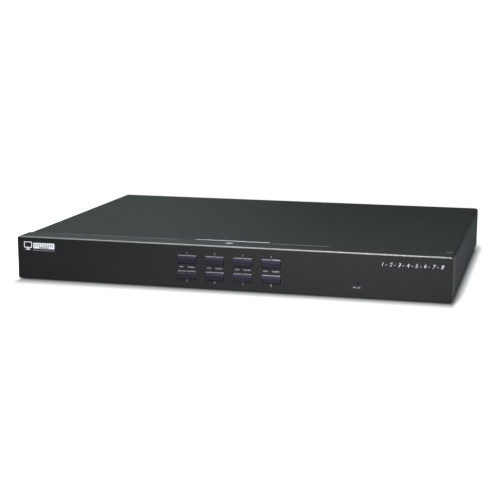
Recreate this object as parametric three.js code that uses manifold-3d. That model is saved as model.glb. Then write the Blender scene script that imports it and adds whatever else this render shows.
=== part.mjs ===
// A one-unit rack KVM switch: eight computers share one keyboard, display and mouse.
// Millimetres, +Z up, front towards -Y. The origin is the middle of the case's footprint, on its underside.

import * as THREE from "three";
import { mergeVertices } from "three/addons/utils/BufferGeometryUtils.js";
import Module from "manifold-3d";

const wasm = await Module();
wasm.setup();

// ---- Driving dimensions ----

const CASE_WIDTH = 440;
const CASE_DEPTH = 310;
const CASE_HEIGHT = 44;
const SHEET = 1; // thickness of every folded sheet
const GAP = 0.1; // between pieces that lie on each other
const BOARD = 1.6; // circuit board thickness
const STANDOFF = 5; // from the tray's floor to a board
const FLANGE_DEPTH = 24; // front panel's flanges and side returns
const TAB_WIDTH = 78; // the flange's central tab
const TAB_REACH = 4.2; // how far the tab passes the flange

const KEY_WIDTH = 19;
const KEY_HEIGHT = 8.8;
const KEY_PITCH = 28.4;
const KEY_COLUMNS = 4;
const KEY_GROUP_X = 4; // the key group's middle stands a little right of the case's middle
const KEY_ROW_Z = [28.9, 13.4]; // upper row, lower row
const KEY_STANDS_OUT = 1.4;
const KEY_TRAVEL = 1;
const KEY_CLEARANCE = 0.4;
const LAMP_X = 130.8;
const LAMP_Z = 14.3;

const PORT_COUNT = 8;
const PORT_PITCH = 33;
const FIRST_PORT_X = -46;

// ---- Planes worked out from the driving dimensions ----

const SIDE_X = CASE_WIDTH / 2;
const FRONT_Y = -CASE_DEPTH / 2;
const REAR_Y = CASE_DEPTH / 2;
const FACE_BACK_Y = FRONT_Y + SHEET;
const FLANGE_END_Y = FRONT_Y + FLANGE_DEPTH;
const COVER_X = SIDE_X; // the cover's sides are flush with the front panel's side returns
const COVER_TOP_Z = CASE_HEIGHT - SHEET - GAP;
const COVER_BEND = 3.4;
const TRAY_X = COVER_X - SHEET - GAP;
const TRAY_WALL_TOP_Z = COVER_TOP_Z - COVER_BEND; // below the cover's bend
const PANEL_OUT_Y = REAR_Y - SHEET - 2 * GAP; // the rear panel's outer face, under the cover's rear lip
const PANEL_IN_Y = PANEL_OUT_Y - SHEET;
const BOARD_Z = SHEET + STANDOFF;
const BOARD_TOP_Z = BOARD_Z + BOARD;
const KEY_BOARD_Y = FRONT_Y + 9.5; // front of the upright board behind the keys
const KEY_BOARD_BACK_Y = KEY_BOARD_Y + BOARD;
const KEY_BOARD_Z = [4, 36.5];

// ---- Screws: shank radius, head radius, head height, length under the face they clamp ----

const FLUSH_SCREW = { shank: 1.5, head: 2.8, height: 1.5, length: 6 };
const FLANGE_SCREW = { shank: 2, head: 3.9, height: 2.2, length: 6 };
const PAN_SCREW = { shank: 1.5, head: 2.8, height: 1.9, length: 5 };
const SCREW_CLEARANCE = 0.35;
const SCREW_SIDES = 12;

// ---- Materials ----

const surface = (color, roughness, metalness) =>
  new THREE.MeshStandardMaterial({ color, roughness, metalness });
const CASE_PAINT = surface(0x25292b, 0.55, 0.2);
const FRONT_PAINT = surface(0x2a2c2f, 0.45, 0.2);
const KEY_PLASTIC = surface(0x2c2e3c, 0.25, 0);
const BLACK_PLASTIC = surface(0x151515, 0.5, 0);
const BOARD_LAMINATE = surface(0x1d5a36, 0.5, 0);
const PLATED_STEEL = surface(0xb4b6b8, 0.3, 0.9);
const BLACK_STEEL = surface(0x1b1c1d, 0.4, 0.7);
const PORT_BLUE = surface(0x1f3f9a, 0.45, 0);
const LAMP_GREEN = surface(0x4fae5a, 0.2, 0);
const CABLE_GREY = surface(0x8d9094, 0.6, 0);
const LEAD_BLACK = surface(0x202022, 0.6, 0);
const CORE_YELLOW = surface(0xc9a63a, 0.5, 0);

// ---- Geometry helpers ----

function solidOf(geometry) {
  const bare = geometry.clone();
  bare.deleteAttribute("normal");
  bare.deleteAttribute("uv");
  const merged = mergeVertices(bare, 1e-4);
  const corners = Array.from(merged.index.array);
  const triVerts = [];
  for (let i = 0; i < corners.length; i += 3) {
    const [a, b, c] = corners.slice(i, i + 3);
    if (a !== b && b !== c && c !== a) triVerts.push(a, b, c);
  }
  const vertProperties = merged.attributes.position.array;
  const mesh = new wasm.Mesh({ numProp: 3, vertProperties, triVerts: new Uint32Array(triVerts) });
  return new wasm.Manifold(mesh);
}

function geometryOf(solid) {
  const { vertProperties, triVerts } = solid.getMesh();
  const shared = new THREE.BufferGeometry();
  shared.setAttribute("position", new THREE.BufferAttribute(vertProperties, 3));
  shared.setIndex(new THREE.BufferAttribute(triVerts, 1));
  const faceted = shared.toNonIndexed();
  faceted.computeVertexNormals();
  return faceted;
}

const join = (first, ...others) => others.reduce((whole, other) => whole.add(other), first);
const cut = (first, ...tools) => tools.reduce((left, tool) => left.subtract(tool), first);

// A box from one value to another on each axis.
function block([x0, x1], [y0, y1], [z0, z1]) {
  const geometry = new THREE.BoxGeometry(x1 - x0, y1 - y0, z1 - z0);
  geometry.translate((x0 + x1) / 2, (y0 + y1) / 2, (z0 + z1) / 2);
  return solidOf(geometry);
}

const ARC_STEPS = 5; // straight pieces in one rounded corner of folded sheet

// An outline whose corners are each rounded by its own radius: corners are [x, y] or [x, y, radius].
function outline(corners, steps = ARC_STEPS) {
  const points = [];
  corners.forEach(([x, y, radius = 0], i) => {
    const corner = new THREE.Vector2(x, y);
    if (!radius) {
      points.push(corner);
      return;
    }
    const [beforeX, beforeY] = corners[(i + corners.length - 1) % corners.length];
    const [afterX, afterY] = corners[(i + 1) % corners.length];
    const back = new THREE.Vector2(beforeX, beforeY).sub(corner).normalize();
    const ahead = new THREE.Vector2(afterX, afterY).sub(corner).normalize();
    const half = Math.acos(back.dot(ahead)) / 2;
    const reach = radius / Math.tan(half);
    const middle = corner.clone().add(back.clone().add(ahead).setLength(radius / Math.sin(half)));
    const start = corner.clone().addScaledVector(back, reach).sub(middle);
    const end = corner.clone().addScaledVector(ahead, reach).sub(middle);
    const sweep = Math.atan2(start.cross(end), start.dot(end));
    for (let step = 0; step <= steps; step++) {
      const turned = start.clone().rotateAround(new THREE.Vector2(), (sweep * step) / steps);
      points.push(turned.add(middle));
    }
  });
  return new THREE.Shape(points);
}

const rectangle = (x0, x1, y0, y1, radius = 0, steps = ARC_STEPS) =>
  outline(
    [
      [x0, y0, radius],
      [x1, y0, radius],
      [x1, y1, radius],
      [x0, y1, radius],
    ],
    steps,
  );

// A flat shape drawn in (X, Z) and extruded along Y, optionally with bevelled ends.
function prismAlongY(shape, [y0, y1], bevel = 0, bevelSegments = 1) {
  const geometry = new THREE.ExtrudeGeometry(shape, {
    depth: y1 - y0 - 2 * bevel,
    steps: 1,
    curveSegments: 4,
    bevelEnabled: bevel > 0,
    bevelThickness: bevel,
    bevelSize: bevel,
    bevelOffset: -bevel,
    bevelSegments,
  });
  geometry.rotateX(Math.PI / 2);
  geometry.translate(0, y1 - bevel, 0);
  return solidOf(geometry);
}

// A flat shape drawn in (Y, Z) and extruded along X, optionally with bevelled ends.
function prismAlongX(shape, [x0, x1], bevel = 0) {
  const geometry = new THREE.ExtrudeGeometry(shape, {
    depth: x1 - x0 - 2 * bevel,
    steps: 1,
    bevelEnabled: bevel > 0,
    bevelThickness: bevel,
    bevelSize: bevel,
    bevelOffset: -bevel,
    bevelSegments: 1,
  });
  geometry.rotateX(Math.PI / 2);
  geometry.rotateZ(Math.PI / 2);
  geometry.translate(x0 + bevel, 0, 0);
  return solidOf(geometry);
}

// A round bar along an axis, from one value to another, through a point given by its other two coordinates.
const AXIS_TURN = { x: [0, 0, -Math.PI / 2], y: [0, 0, 0], z: [Math.PI / 2, 0, 0] };
function bar(axis, radius, [from, to], [first, second], sides = 12) {
  const geometry = new THREE.CylinderGeometry(radius, radius, to - from, sides);
  const middle = (from + to) / 2;
  const centre = { x: [middle, first, second], y: [first, middle, second], z: [first, second, middle] }[axis];
  const turned = new THREE.Matrix4().makeRotationFromEuler(new THREE.Euler(...AXIS_TURN[axis]));
  geometry.applyMatrix4(turned);
  geometry.translate(...centre);
  return solidOf(geometry);
}

// A turned solid about +Z from [radius, height] points that run up from the axis and back to it.
function turned(profile, sides) {
  const points = profile.map(([radius, height]) => new THREE.Vector2(radius, height));
  const geometry = new THREE.LatheGeometry(points, sides);
  geometry.rotateX(Math.PI / 2);
  return geometry;
}

const root = new THREE.Group();

function addPiece(parent, name, solid, material, position = [0, 0, 0], rotation = [0, 0, 0]) {
  const mesh = new THREE.Mesh(geometryOf(solid), material);
  mesh.name = name;
  mesh.position.set(...position);
  mesh.rotation.set(...rotation);
  parent.add(mesh);
}

// ---- Places that several pieces share ----

const keys = KEY_ROW_Z.flatMap((z, row) =>
  Array.from({ length: KEY_COLUMNS }, (_, column) => ({
    number: row * KEY_COLUMNS + column + 1,
    x: KEY_GROUP_X + (column - (KEY_COLUMNS - 1) / 2) * KEY_PITCH,
    z,
  })),
);

const ports = Array.from({ length: PORT_COUNT }, (_, i) => FIRST_PORT_X + i * PORT_PITCH);
const CONSOLE_VGA_X = -84;
const CONSOLE_PS2_X = -113;
const CONSOLE_USB_X = -132;
const INLET_X = -190;
const ROCKER_X = -160;
const POWER_Z = 21;
const VGA_Z = BOARD_TOP_Z + 6.35; // middle of a video connector that stands on the main board

// Rotations that point a screw's head along each direction.
const HEAD = {
  up: [0, 0, 0],
  down: [Math.PI, 0, 0],
  right: [0, Math.PI / 2, 0],
  left: [0, -Math.PI / 2, 0],
  rear: [-Math.PI / 2, 0, 0],
  front: [Math.PI / 2, 0, 0],
};

const SIDE_SCREW_Z = 4.6;
const SIDE_SCREW_Y = { front: -95, rear: 133 };
const coverSideScrews = Object.entries(SIDE_SCREW_Y).flatMap(([end, y]) => [
  { name: `cover_screw_left_${end}`, at: [-COVER_X, y, SIDE_SCREW_Z], head: HEAD.left },
  { name: `cover_screw_right_${end}`, at: [COVER_X, y, SIDE_SCREW_Z], head: HEAD.right },
]);
const flangeScrew = {
  name: "front_flange_screw",
  at: [0, FRONT_Y + 16, CASE_HEIGHT],
  head: HEAD.up,
  size: FLANGE_SCREW,
};
const FOOT_SCREW_X = 150;
const footScrews = [
  { name: "front_panel_screw_left", at: [-FOOT_SCREW_X, FRONT_Y + 8, 0], head: HEAD.down },
  { name: "front_panel_screw_right", at: [FOOT_SCREW_X, FRONT_Y + 8, 0], head: HEAD.down },
];
const LIP_SCREW_X = 150;
const LIP_SCREW_Z = 38.8;
const lipScrews = [
  { name: "cover_screw_rear_left", at: [-LIP_SCREW_X, REAR_Y, LIP_SCREW_Z], head: HEAD.rear },
  { name: "cover_screw_rear_right", at: [LIP_SCREW_X, REAR_Y, LIP_SCREW_Z], head: HEAD.rear },
];
const mainBoardScrews = [
  { name: "main_board_screw_left", at: [-134, -12, BOARD_TOP_Z + GAP], head: HEAD.up },
  { name: "main_board_screw_right", at: [204, -12, BOARD_TOP_Z + GAP], head: HEAD.up },
  { name: "main_board_screw_middle", at: [20, 70, BOARD_TOP_Z + GAP], head: HEAD.up },
];
const supplyBoardScrews = [
  { name: "supply_board_screw_front", at: [-206, -24, BOARD_TOP_Z + GAP], head: HEAD.up },
  { name: "supply_board_screw_rear", at: [-154, 112, BOARD_TOP_Z + GAP], head: HEAD.up },
];
const KEY_BOARD_SCREW_Z = 21;
const keyBoardScrews = [
  { name: "key_board_screw_left", at: [-56, KEY_BOARD_Y - GAP, KEY_BOARD_SCREW_Z], head: HEAD.front },
  { name: "key_board_screw_right", at: [138, KEY_BOARD_Y - GAP, KEY_BOARD_SCREW_Z], head: HEAD.front },
];

// ---- Screw shapes and the holes they need ----

// Head outwards along +Z. A flush screw's face is at Z 0; a pan screw's head sits on Z 0.
function flushProfile({ shank, head, height, length }, extra = 0, above = 0) {
  return [
    [0, -length],
    [shank + extra, -length],
    [shank + extra, -height],
    [head + extra, 0],
    ...(above ? [[head + extra, above]] : []),
    [0, above],
  ];
}

function panProfile({ shank, head, height, length }) {
  return [
    [0, -length],
    [shank, -length],
    [shank, 0],
    [head, 0],
    [head * 0.9, height * 0.7],
    [head * 0.55, height],
    [0, height],
  ];
}

const RECESS = { arm: 1.4, halfSlot: 0.3, depth: 0.9 };

// The cross recess of a screw head whose top is at Z = top.
function withRecess(solid, top) {
  const long = [-RECESS.arm, RECESS.arm];
  const narrow = [-RECESS.halfSlot, RECESS.halfSlot];
  const span = [top - RECESS.depth, top + 1];
  return cut(solid, block(long, narrow, span), block(narrow, long, span));
}

const flushScrew = (size) => withRecess(solidOf(turned(flushProfile(size), SCREW_SIDES)), 0);
const panScrew = withRecess(solidOf(turned(panProfile(PAN_SCREW), SCREW_SIDES)), PAN_SCREW.height);

function flushHole({ at, head, size = FLUSH_SCREW }) {
  const geometry = turned(flushProfile({ ...size, length: 20 }, SCREW_CLEARANCE, 1), SCREW_SIDES);
  const place = new THREE.Object3D();
  place.position.set(...at);
  place.rotation.set(...head);
  place.updateMatrix();
  return solidOf(geometry.applyMatrix4(place.matrix));
}

const screwHole = (axis, span, across) => bar(axis, PAN_SCREW.shank + SCREW_CLEARANCE, span, across);

// ---- Front panel ----

const PANEL_CORNER = 3; // outer radius of the face's corners
const PANEL_BEND = 1.2; // outer radius where the face folds back
const PANEL_BEND_STEPS = 5;
const LAMP_HOLE_RADIUS = 1.15;
const keyOpening = ({ x, z }) => {
  const halfWidth = KEY_WIDTH / 2 + KEY_CLEARANCE;
  const halfHeight = KEY_HEIGHT / 2 + KEY_CLEARANCE;
  const shape = rectangle(x - halfWidth, x + halfWidth, z - halfHeight, z + halfHeight, 0.6, 1);
  return prismAlongY(shape, [FRONT_Y - 1, FACE_BACK_Y + 1]);
};

function frontPanel() {
  const tabEnd = FLANGE_END_Y + TAB_REACH;
  const outer = prismAlongY(
    rectangle(-SIDE_X, SIDE_X, 0, CASE_HEIGHT, PANEL_CORNER),
    [FRONT_Y, tabEnd + 10],
    PANEL_BEND,
    PANEL_BEND_STEPS,
  );
  const inner = prismAlongY(
    rectangle(-SIDE_X + SHEET, SIDE_X - SHEET, SHEET, CASE_HEIGHT - SHEET, PANEL_CORNER - SHEET),
    [FACE_BACK_Y, tabEnd + 20],
  );
  const behindTab = block([-SIDE_X - 1, SIDE_X + 1], [tabEnd, tabEnd + 30], [-1, CASE_HEIGHT + 1]);
  const besideTab = (x0, x1) => block([x0, x1], [FLANGE_END_Y, tabEnd + 1], [-1, CASE_HEIGHT + 1]);
  const underTab = block([-SIDE_X - 1, SIDE_X + 1], [FLANGE_END_Y, tabEnd + 1], [-1, CASE_HEIGHT / 2]);
  const lampHole = bar("y", LAMP_HOLE_RADIUS, [FRONT_Y - 1, FACE_BACK_Y + 1], [LAMP_X, LAMP_Z]);
  return cut(
    outer,
    inner,
    behindTab,
    besideTab(-SIDE_X - 1, -TAB_WIDTH / 2),
    besideTab(TAB_WIDTH / 2, SIDE_X + 1),
    underTab,
    lampHole,
    ...keys.map(keyOpening),
    ...[flangeScrew, ...footScrews].map(flushHole),
  );
}
addPiece(root, "front_panel", frontPanel(), FRONT_PAINT);

// ---- Top cover ----

const COVER_SKIRT_Z = 0.8; // lower edge of the sides
const REAR_LIP_Z = 35.4; // lower edge of the lip over the rear panel
const SIDE_START_Y = FLANGE_END_Y + 2 * GAP;
const TONGUE_INSET = 3.5; // the tongue under the front panel clears that panel's rounded corners
const COLLAR_RADIUS = 4; // drawn down under the flange screw to hold its thread

function topCover() {
  const inside = COVER_X - SHEET;
  const under = COVER_TOP_Z - SHEET;
  const folded = outline([
    [-COVER_X, COVER_SKIRT_Z],
    [-inside, COVER_SKIRT_Z],
    [-inside, under, COVER_BEND - SHEET],
    [inside, under, COVER_BEND - SHEET],
    [inside, COVER_SKIRT_Z],
    [COVER_X, COVER_SKIRT_Z],
    [COVER_X, COVER_TOP_Z, COVER_BEND],
    [-COVER_X, COVER_TOP_Z, COVER_BEND],
  ]);
  const shell = prismAlongY(folded, [SIDE_START_Y, REAR_Y]);
  const tongueX = COVER_X - TONGUE_INSET;
  const tongue = block([-tongueX, tongueX], [FACE_BACK_Y + 0.4, SIDE_START_Y + SHEET], [under, COVER_TOP_Z]);
  const lipX = COVER_X - COVER_BEND;
  const lip = block([-lipX, lipX], [REAR_Y - SHEET, REAR_Y], [REAR_LIP_Z, COVER_TOP_Z - SHEET / 2]);
  const [screwX, screwY] = flangeScrew.at;
  const collar = bar("z", COLLAR_RADIUS, [under - 2 * SHEET, under + SHEET / 2], [screwX, screwY]);
  return cut(
    join(shell, tongue, lip, collar),
    ...[flangeScrew, ...coverSideScrews].map(flushHole),
    ...lipScrews.map(({ at: [x, , z] }) => screwHole("y", [REAR_Y - 5, REAR_Y + 5], [x, z])),
  );
}
addPiece(root, "top_cover", topCover(), CASE_PAINT);

// ---- Base chassis: the tray ----

const JOGGLE_Y = FLANGE_END_Y + 0.5; // the floor steps up here, over the front panel's bottom flange
const STEP_Z = SHEET + GAP;
const TRAY_BEND = 2;
const FRONT_LIP_TOP_Z = 5.5;
const TRAY_START_Y = FACE_BACK_Y + 0.3;
const STANDOFF_RADIUS = 3.5;
const TAB_HALF_WIDTH = 5.5; // upright tabs that hold the key board
const TAB_ABOVE_SCREW = 5;

// A channel with its floor from floorZ up, drawn in (X, Z).
function channel(floorZ) {
  const inside = TRAY_X - SHEET;
  return outline([
    [-TRAY_X, floorZ, TRAY_BEND],
    [TRAY_X, floorZ, TRAY_BEND],
    [TRAY_X, TRAY_WALL_TOP_Z],
    [inside, TRAY_WALL_TOP_Z],
    [inside, floorZ + SHEET, TRAY_BEND - SHEET],
    [-inside, floorZ + SHEET, TRAY_BEND - SHEET],
    [-inside, TRAY_WALL_TOP_Z],
    [-TRAY_X, TRAY_WALL_TOP_Z],
  ]);
}

const boardScrews = [...mainBoardScrews, ...supplyBoardScrews];

function baseChassis() {
  const tray = prismAlongY(channel(0), [JOGGLE_Y, PANEL_IN_Y - GAP]);
  const raised = prismAlongY(channel(STEP_Z), [TRAY_START_Y, JOGGLE_Y + SHEET]);
  const lipX = TRAY_X - 4 * SHEET;
  const frontLip = block([-lipX, lipX], [TRAY_START_Y, TRAY_START_Y + SHEET], [STEP_Z, FRONT_LIP_TOP_Z]);
  const joggleX = TRAY_X - TRAY_BEND;
  const joggle = block([-joggleX, joggleX], [JOGGLE_Y, JOGGLE_Y + SHEET], [0, STEP_Z + SHEET]);
  const standoffs = boardScrews.map(({ at: [x, y] }) =>
    bar("z", STANDOFF_RADIUS, [SHEET / 2, BOARD_Z - GAP], [x, y]),
  );
  const bores = boardScrews.map(({ at: [x, y] }) => screwHole("z", [SHEET + 0.2, BOARD_Z + 1], [x, y]));
  const tabs = keyBoardScrews.map(({ at: [x, , z] }) =>
    block(
      [x - TAB_HALF_WIDTH, x + TAB_HALF_WIDTH],
      [KEY_BOARD_BACK_Y + GAP, KEY_BOARD_BACK_Y + GAP + SHEET],
      [STEP_Z + SHEET / 2, z + TAB_ABOVE_SCREW],
    ),
  );
  const tabHoles = keyBoardScrews.map(({ at: [x, , z] }) =>
    screwHole("y", [KEY_BOARD_BACK_Y - 1, KEY_BOARD_BACK_Y + 3], [x, z]),
  );
  return cut(
    join(tray, raised, frontLip, joggle, ...standoffs, ...tabs),
    ...bores,
    ...tabHoles,
    ...[...footScrews, ...coverSideScrews].map(flushHole),
  );
}
addPiece(root, "base_chassis", baseChassis(), CASE_PAINT);

// ---- Video-type connector (one per computer, and the console's) ----
// Its own frame: X across, +Y out of the rear panel's outer face, Z 0 at the connector's middle.

const VGA_FLANGE = { halfWidth: 15.4, halfHeight: 6.25, thickness: 0.8 };
const VGA_BODY = { halfWidth: 14.5, depth: 12, topGap: 1 };
const VGA_CORNER = 2.2;
const VGA_MOUTH = { wall: 0.6, depth: 0.8 };
const VGA_JACK_X = 12.5;
const VGA_SHELL_HALF = [8.2, 4]; // half width along the wide edge, half height
const VGA_SLANT = Math.tan(THREE.MathUtils.degToRad(10));
const VGA_STANDS_OUT = 5.2;
const JACK_RADIUS = 2.7; // hexagon, across corners
const JACK_STUD = 1.4;

// The D shape, grown by an amount all round, about (x, z).
function dShape(grow, x = 0, z = 0) {
  const [halfWidth, halfHeight] = VGA_SHELL_HALF;
  const wide = halfWidth + grow;
  const tall = halfHeight + grow;
  const narrow = wide - 2 * tall * VGA_SLANT;
  const radius = VGA_CORNER + grow;
  return outline(
    [
      [x - narrow, z - tall, radius],
      [x + narrow, z - tall, radius],
      [x + wide, z + tall, radius],
      [x - wide, z + tall, radius],
    ],
    2,
  );
}

function videoConnector() {
  const flangeFront = -SHEET - GAP;
  const flangeBack = flangeFront - VGA_FLANGE.thickness;
  const across = (halfWidth) => [-halfWidth, halfWidth];
  const flange = block(
    across(VGA_FLANGE.halfWidth),
    [flangeBack, flangeFront],
    across(VGA_FLANGE.halfHeight),
  );
  const body = block(
    across(VGA_BODY.halfWidth),
    [-VGA_BODY.depth, flangeBack + GAP],
    [-VGA_FLANGE.halfHeight, VGA_FLANGE.halfHeight - VGA_BODY.topGap],
  );
  const shell = prismAlongY(dShape(0), [flangeBack, VGA_STANDS_OUT]);
  const mouth = prismAlongY(dShape(-VGA_MOUTH.wall), [VGA_STANDS_OUT - VGA_MOUTH.depth, VGA_STANDS_OUT + 1]);
  const jack = (x) =>
    cut(
      join(
        bar("y", JACK_STUD, [flangeBack, 2 * GAP], [x, 0], 8),
        bar("y", JACK_RADIUS, [GAP, VGA_STANDS_OUT - 0.4], [x, 0], 6),
      ),
      bar("y", JACK_STUD, [1.5, VGA_STANDS_OUT + 1], [x, 0], 8),
    );
  return join(cut(join(flange, body, shell), mouth), jack(-VGA_JACK_X), jack(VGA_JACK_X));
}

const connector = videoConnector();
const vgaPlaces = [
  ...ports.map((x, i) => ({ name: `pc_port_${i + 1}`, x })),
  { name: "console_video_port", x: CONSOLE_VGA_X },
];
vgaPlaces.forEach(({ name, x }) => addPiece(root, name, connector, PORT_BLUE, [x, PANEL_OUT_Y, VGA_Z]));

// ---- Console keyboard and mouse sockets, one block with two round sockets ----

const PS2_HALF_WIDTH = 7;
const PS2_HEIGHT = 27;
const PS2_SOCKET_Z = [7.3, 20.1];
const PS2_SOCKET = { radius: 4.7, pinBossRadius: 3.7, depth: 6, bossGap: 0.6 };
const SOCKET_BLOCK_DEPTH = 17; // both console blocks reach this far in from the panel
const SOCKET_FACE = 0.8; // and stand this far out of it

function keyboardMousePort() {
  const { radius, pinBossRadius, depth, bossGap } = PS2_SOCKET;
  const socket = (z) =>
    cut(
      bar("y", radius, [-depth, SOCKET_FACE + 1], [0, z], 16),
      bar("y", pinBossRadius, [-depth - 1, SOCKET_FACE - bossGap], [0, z], 16),
    );
  return cut(
    block([-PS2_HALF_WIDTH, PS2_HALF_WIDTH], [-SOCKET_BLOCK_DEPTH, SOCKET_FACE], [GAP, PS2_HEIGHT]),
    ...PS2_SOCKET_Z.map(socket),
  );
}
addPiece(root, "console_keyboard_mouse_port", keyboardMousePort(), BLACK_PLASTIC, [
  CONSOLE_PS2_X,
  PANEL_OUT_Y,
  BOARD_TOP_Z,
]);

// ---- Console USB sockets, two in one shell ----

const USB_HALF_WIDTH = 6.6;
const USB_HEIGHT = 15.7;
const USB_SLOT_Z = [4.3, 11.7];
const USB_SLOT = { halfWidth: 6.1, halfHeight: 2.5, depth: 12 };
const USB_TONGUE = { halfWidth: 5.2, thickness: 1.8, setBack: 0.8 };

function usbPort() {
  const slot = (z) =>
    block(
      [-USB_SLOT.halfWidth, USB_SLOT.halfWidth],
      [SOCKET_FACE - USB_SLOT.depth, SOCKET_FACE + 1],
      [z - USB_SLOT.halfHeight, z + USB_SLOT.halfHeight],
    );
  const tongue = (z) =>
    block(
      [-USB_TONGUE.halfWidth, USB_TONGUE.halfWidth],
      [-USB_SLOT.depth, -USB_TONGUE.setBack],
      [z, z + USB_TONGUE.thickness],
    );
  const shell = block(
    [-USB_HALF_WIDTH, USB_HALF_WIDTH],
    [-SOCKET_BLOCK_DEPTH, SOCKET_FACE],
    [GAP, USB_HEIGHT],
  );
  return join(cut(shell, ...USB_SLOT_Z.map(slot)), ...USB_SLOT_Z.map(tongue));
}
addPiece(root, "console_usb_port", usbPort(), PLATED_STEEL, [CONSOLE_USB_X, PANEL_OUT_Y, BOARD_TOP_Z]);

// ---- Mains inlet ----

const INLET_BODY = [13.7, 10]; // half width and half height behind the panel
const INLET_FLANGE = [15.5, 12.2];
const INLET_DEPTH = 18;
const INLET_RIM = 2.6;
const INLET_MOUTH = { halfWidth: 12, halfHeight: 8.3, chamfer: 5.5, depth: 15.5 };
const INLET_CORNER = 2;
const BLADE = { halfWidth: 1, halfHeight: 2, length: 13.5, tip: -0.5 };
const BLADE_PLACES = [
  [-7, -1.5],
  [7, -1.5],
  [0, 2.5],
];

function mainsInlet() {
  const [bodyX, bodyZ] = INLET_BODY;
  const [flangeX, flangeZ] = INLET_FLANGE;
  const { halfWidth, halfHeight, chamfer, depth } = INLET_MOUTH;
  const mouth = outline([
    [-halfWidth, -halfHeight],
    [halfWidth, -halfHeight],
    [halfWidth, halfHeight - chamfer],
    [halfWidth - chamfer, halfHeight],
    [chamfer - halfWidth, halfHeight],
    [-halfWidth, halfHeight - chamfer],
  ]);
  const blade = ([x, z]) =>
    block(
      [x - BLADE.halfWidth, x + BLADE.halfWidth],
      [BLADE.tip - BLADE.length, BLADE.tip],
      [z - BLADE.halfHeight, z + BLADE.halfHeight],
    );
  return join(
    cut(
      join(
        prismAlongY(rectangle(-flangeX, flangeX, -flangeZ, flangeZ, INLET_CORNER), [GAP, INLET_RIM]),
        block([-bodyX, bodyX], [-INLET_DEPTH, GAP + 0.5], [-bodyZ, bodyZ]),
      ),
      prismAlongY(mouth, [INLET_RIM - depth, INLET_RIM + 1]),
    ),
    ...BLADE_PLACES.map(blade),
  );
}
addPiece(root, "mains_inlet", mainsInlet(), BLACK_PLASTIC, [INLET_X, PANEL_OUT_Y, POWER_Z]);

// ---- Power rocker switch ----
// The pivot's own frame: X along the pin, +Y out of the rear panel, Z up.

const ROCKER_FLANGE = [7.5, 10.5];
const ROCKER_BODY = [6.4, 9.2];
const ROCKER_WELL = [5.2, 8.2];
const ROCKER_RIM = 2.1; // the flange's face stands this far out of the panel
const ROCKER_PIVOT_DEPTH = 5; // from the flange's face in to the pin
const ROCKER_PIN = 1;
const ROCKER_HALF_WIDTH = 4.8;
const ROCKER_END_Z = 7; // half the rocker's height
const ROCKER_DEPTH = 14; // the housing's body, in from the panel
const ROCKER_WELL_DEPTH = 10;
const ROCKER_CORNER = 1.5;
const ROCKER_REST_TILT = THREE.MathUtils.degToRad(-10);
const PIVOT_Y = ROCKER_RIM - ROCKER_PIVOT_DEPTH;

function switchHousing() {
  const [flangeX, flangeZ] = ROCKER_FLANGE;
  const [bodyX, bodyZ] = ROCKER_BODY;
  const [wellX, wellZ] = ROCKER_WELL;
  const rim = rectangle(-flangeX, flangeX, -flangeZ, flangeZ, ROCKER_CORNER);
  const flange = prismAlongY(rim, [GAP, ROCKER_RIM]);
  const body = block([-bodyX, bodyX], [-ROCKER_DEPTH, GAP + 0.5], [-bodyZ, bodyZ]);
  const well = block([-wellX, wellX], [-ROCKER_WELL_DEPTH, ROCKER_RIM + 1], [-wellZ, wellZ]);
  const pinHole = bar("x", ROCKER_PIN + SCREW_CLEARANCE, [-bodyX - 1, bodyX + 1], [PIVOT_Y, 0]);
  return cut(join(flange, body), well, pinHole);
}

// The paddle's side view in (Y, Z): a shallow V outside, with a rounded edge at each end.
function rocker() {
  const edge = 0.6;
  const side = outline(
    [
      [4, 0],
      [5.4, ROCKER_END_Z, edge],
      [0.8, ROCKER_END_Z + 0.4, edge],
      [-2.5, 3],
      [-2.5, -3],
      [0.8, -ROCKER_END_Z - 0.4, edge],
      [5.4, -ROCKER_END_Z, edge],
    ].reverse(),
    2,
  );
  const paddle = prismAlongX(side, [-ROCKER_HALF_WIDTH, ROCKER_HALF_WIDTH]);
  const pinEnd = ROCKER_BODY[0] - 0.4;
  return join(paddle, bar("x", ROCKER_PIN, [-pinEnd, pinEnd], [0, 0]));
}

addPiece(root, "power_switch_housing", switchHousing(), BLACK_PLASTIC, [ROCKER_X, PANEL_OUT_Y, POWER_Z]);
addPiece(
  root,
  "power_rocker",
  rocker(),
  BLACK_PLASTIC,
  [ROCKER_X, PANEL_OUT_Y + PIVOT_Y, POWER_Z],
  [ROCKER_REST_TILT, 0, 0],
);

// ---- Rear panel ----

const REAR_PANEL_X = TRAY_X - SHEET - GAP;
const REAR_PANEL_Z = [SHEET + GAP, COVER_TOP_Z - SHEET - GAP];
const REAR_PANEL_CORNER = 2.5; // its upper corners clear the cover's bend
const CUTOUT_CLEARANCE = 0.35;
const VENT = { count: 20, pitch: 7, firstX: 50, halfWidth: 1.2, z: [24.5, 31] };
const WELD_FLANGE = { depth: 8, z: [3, 38] }; // bent forwards, welded to the tray's walls

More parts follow.
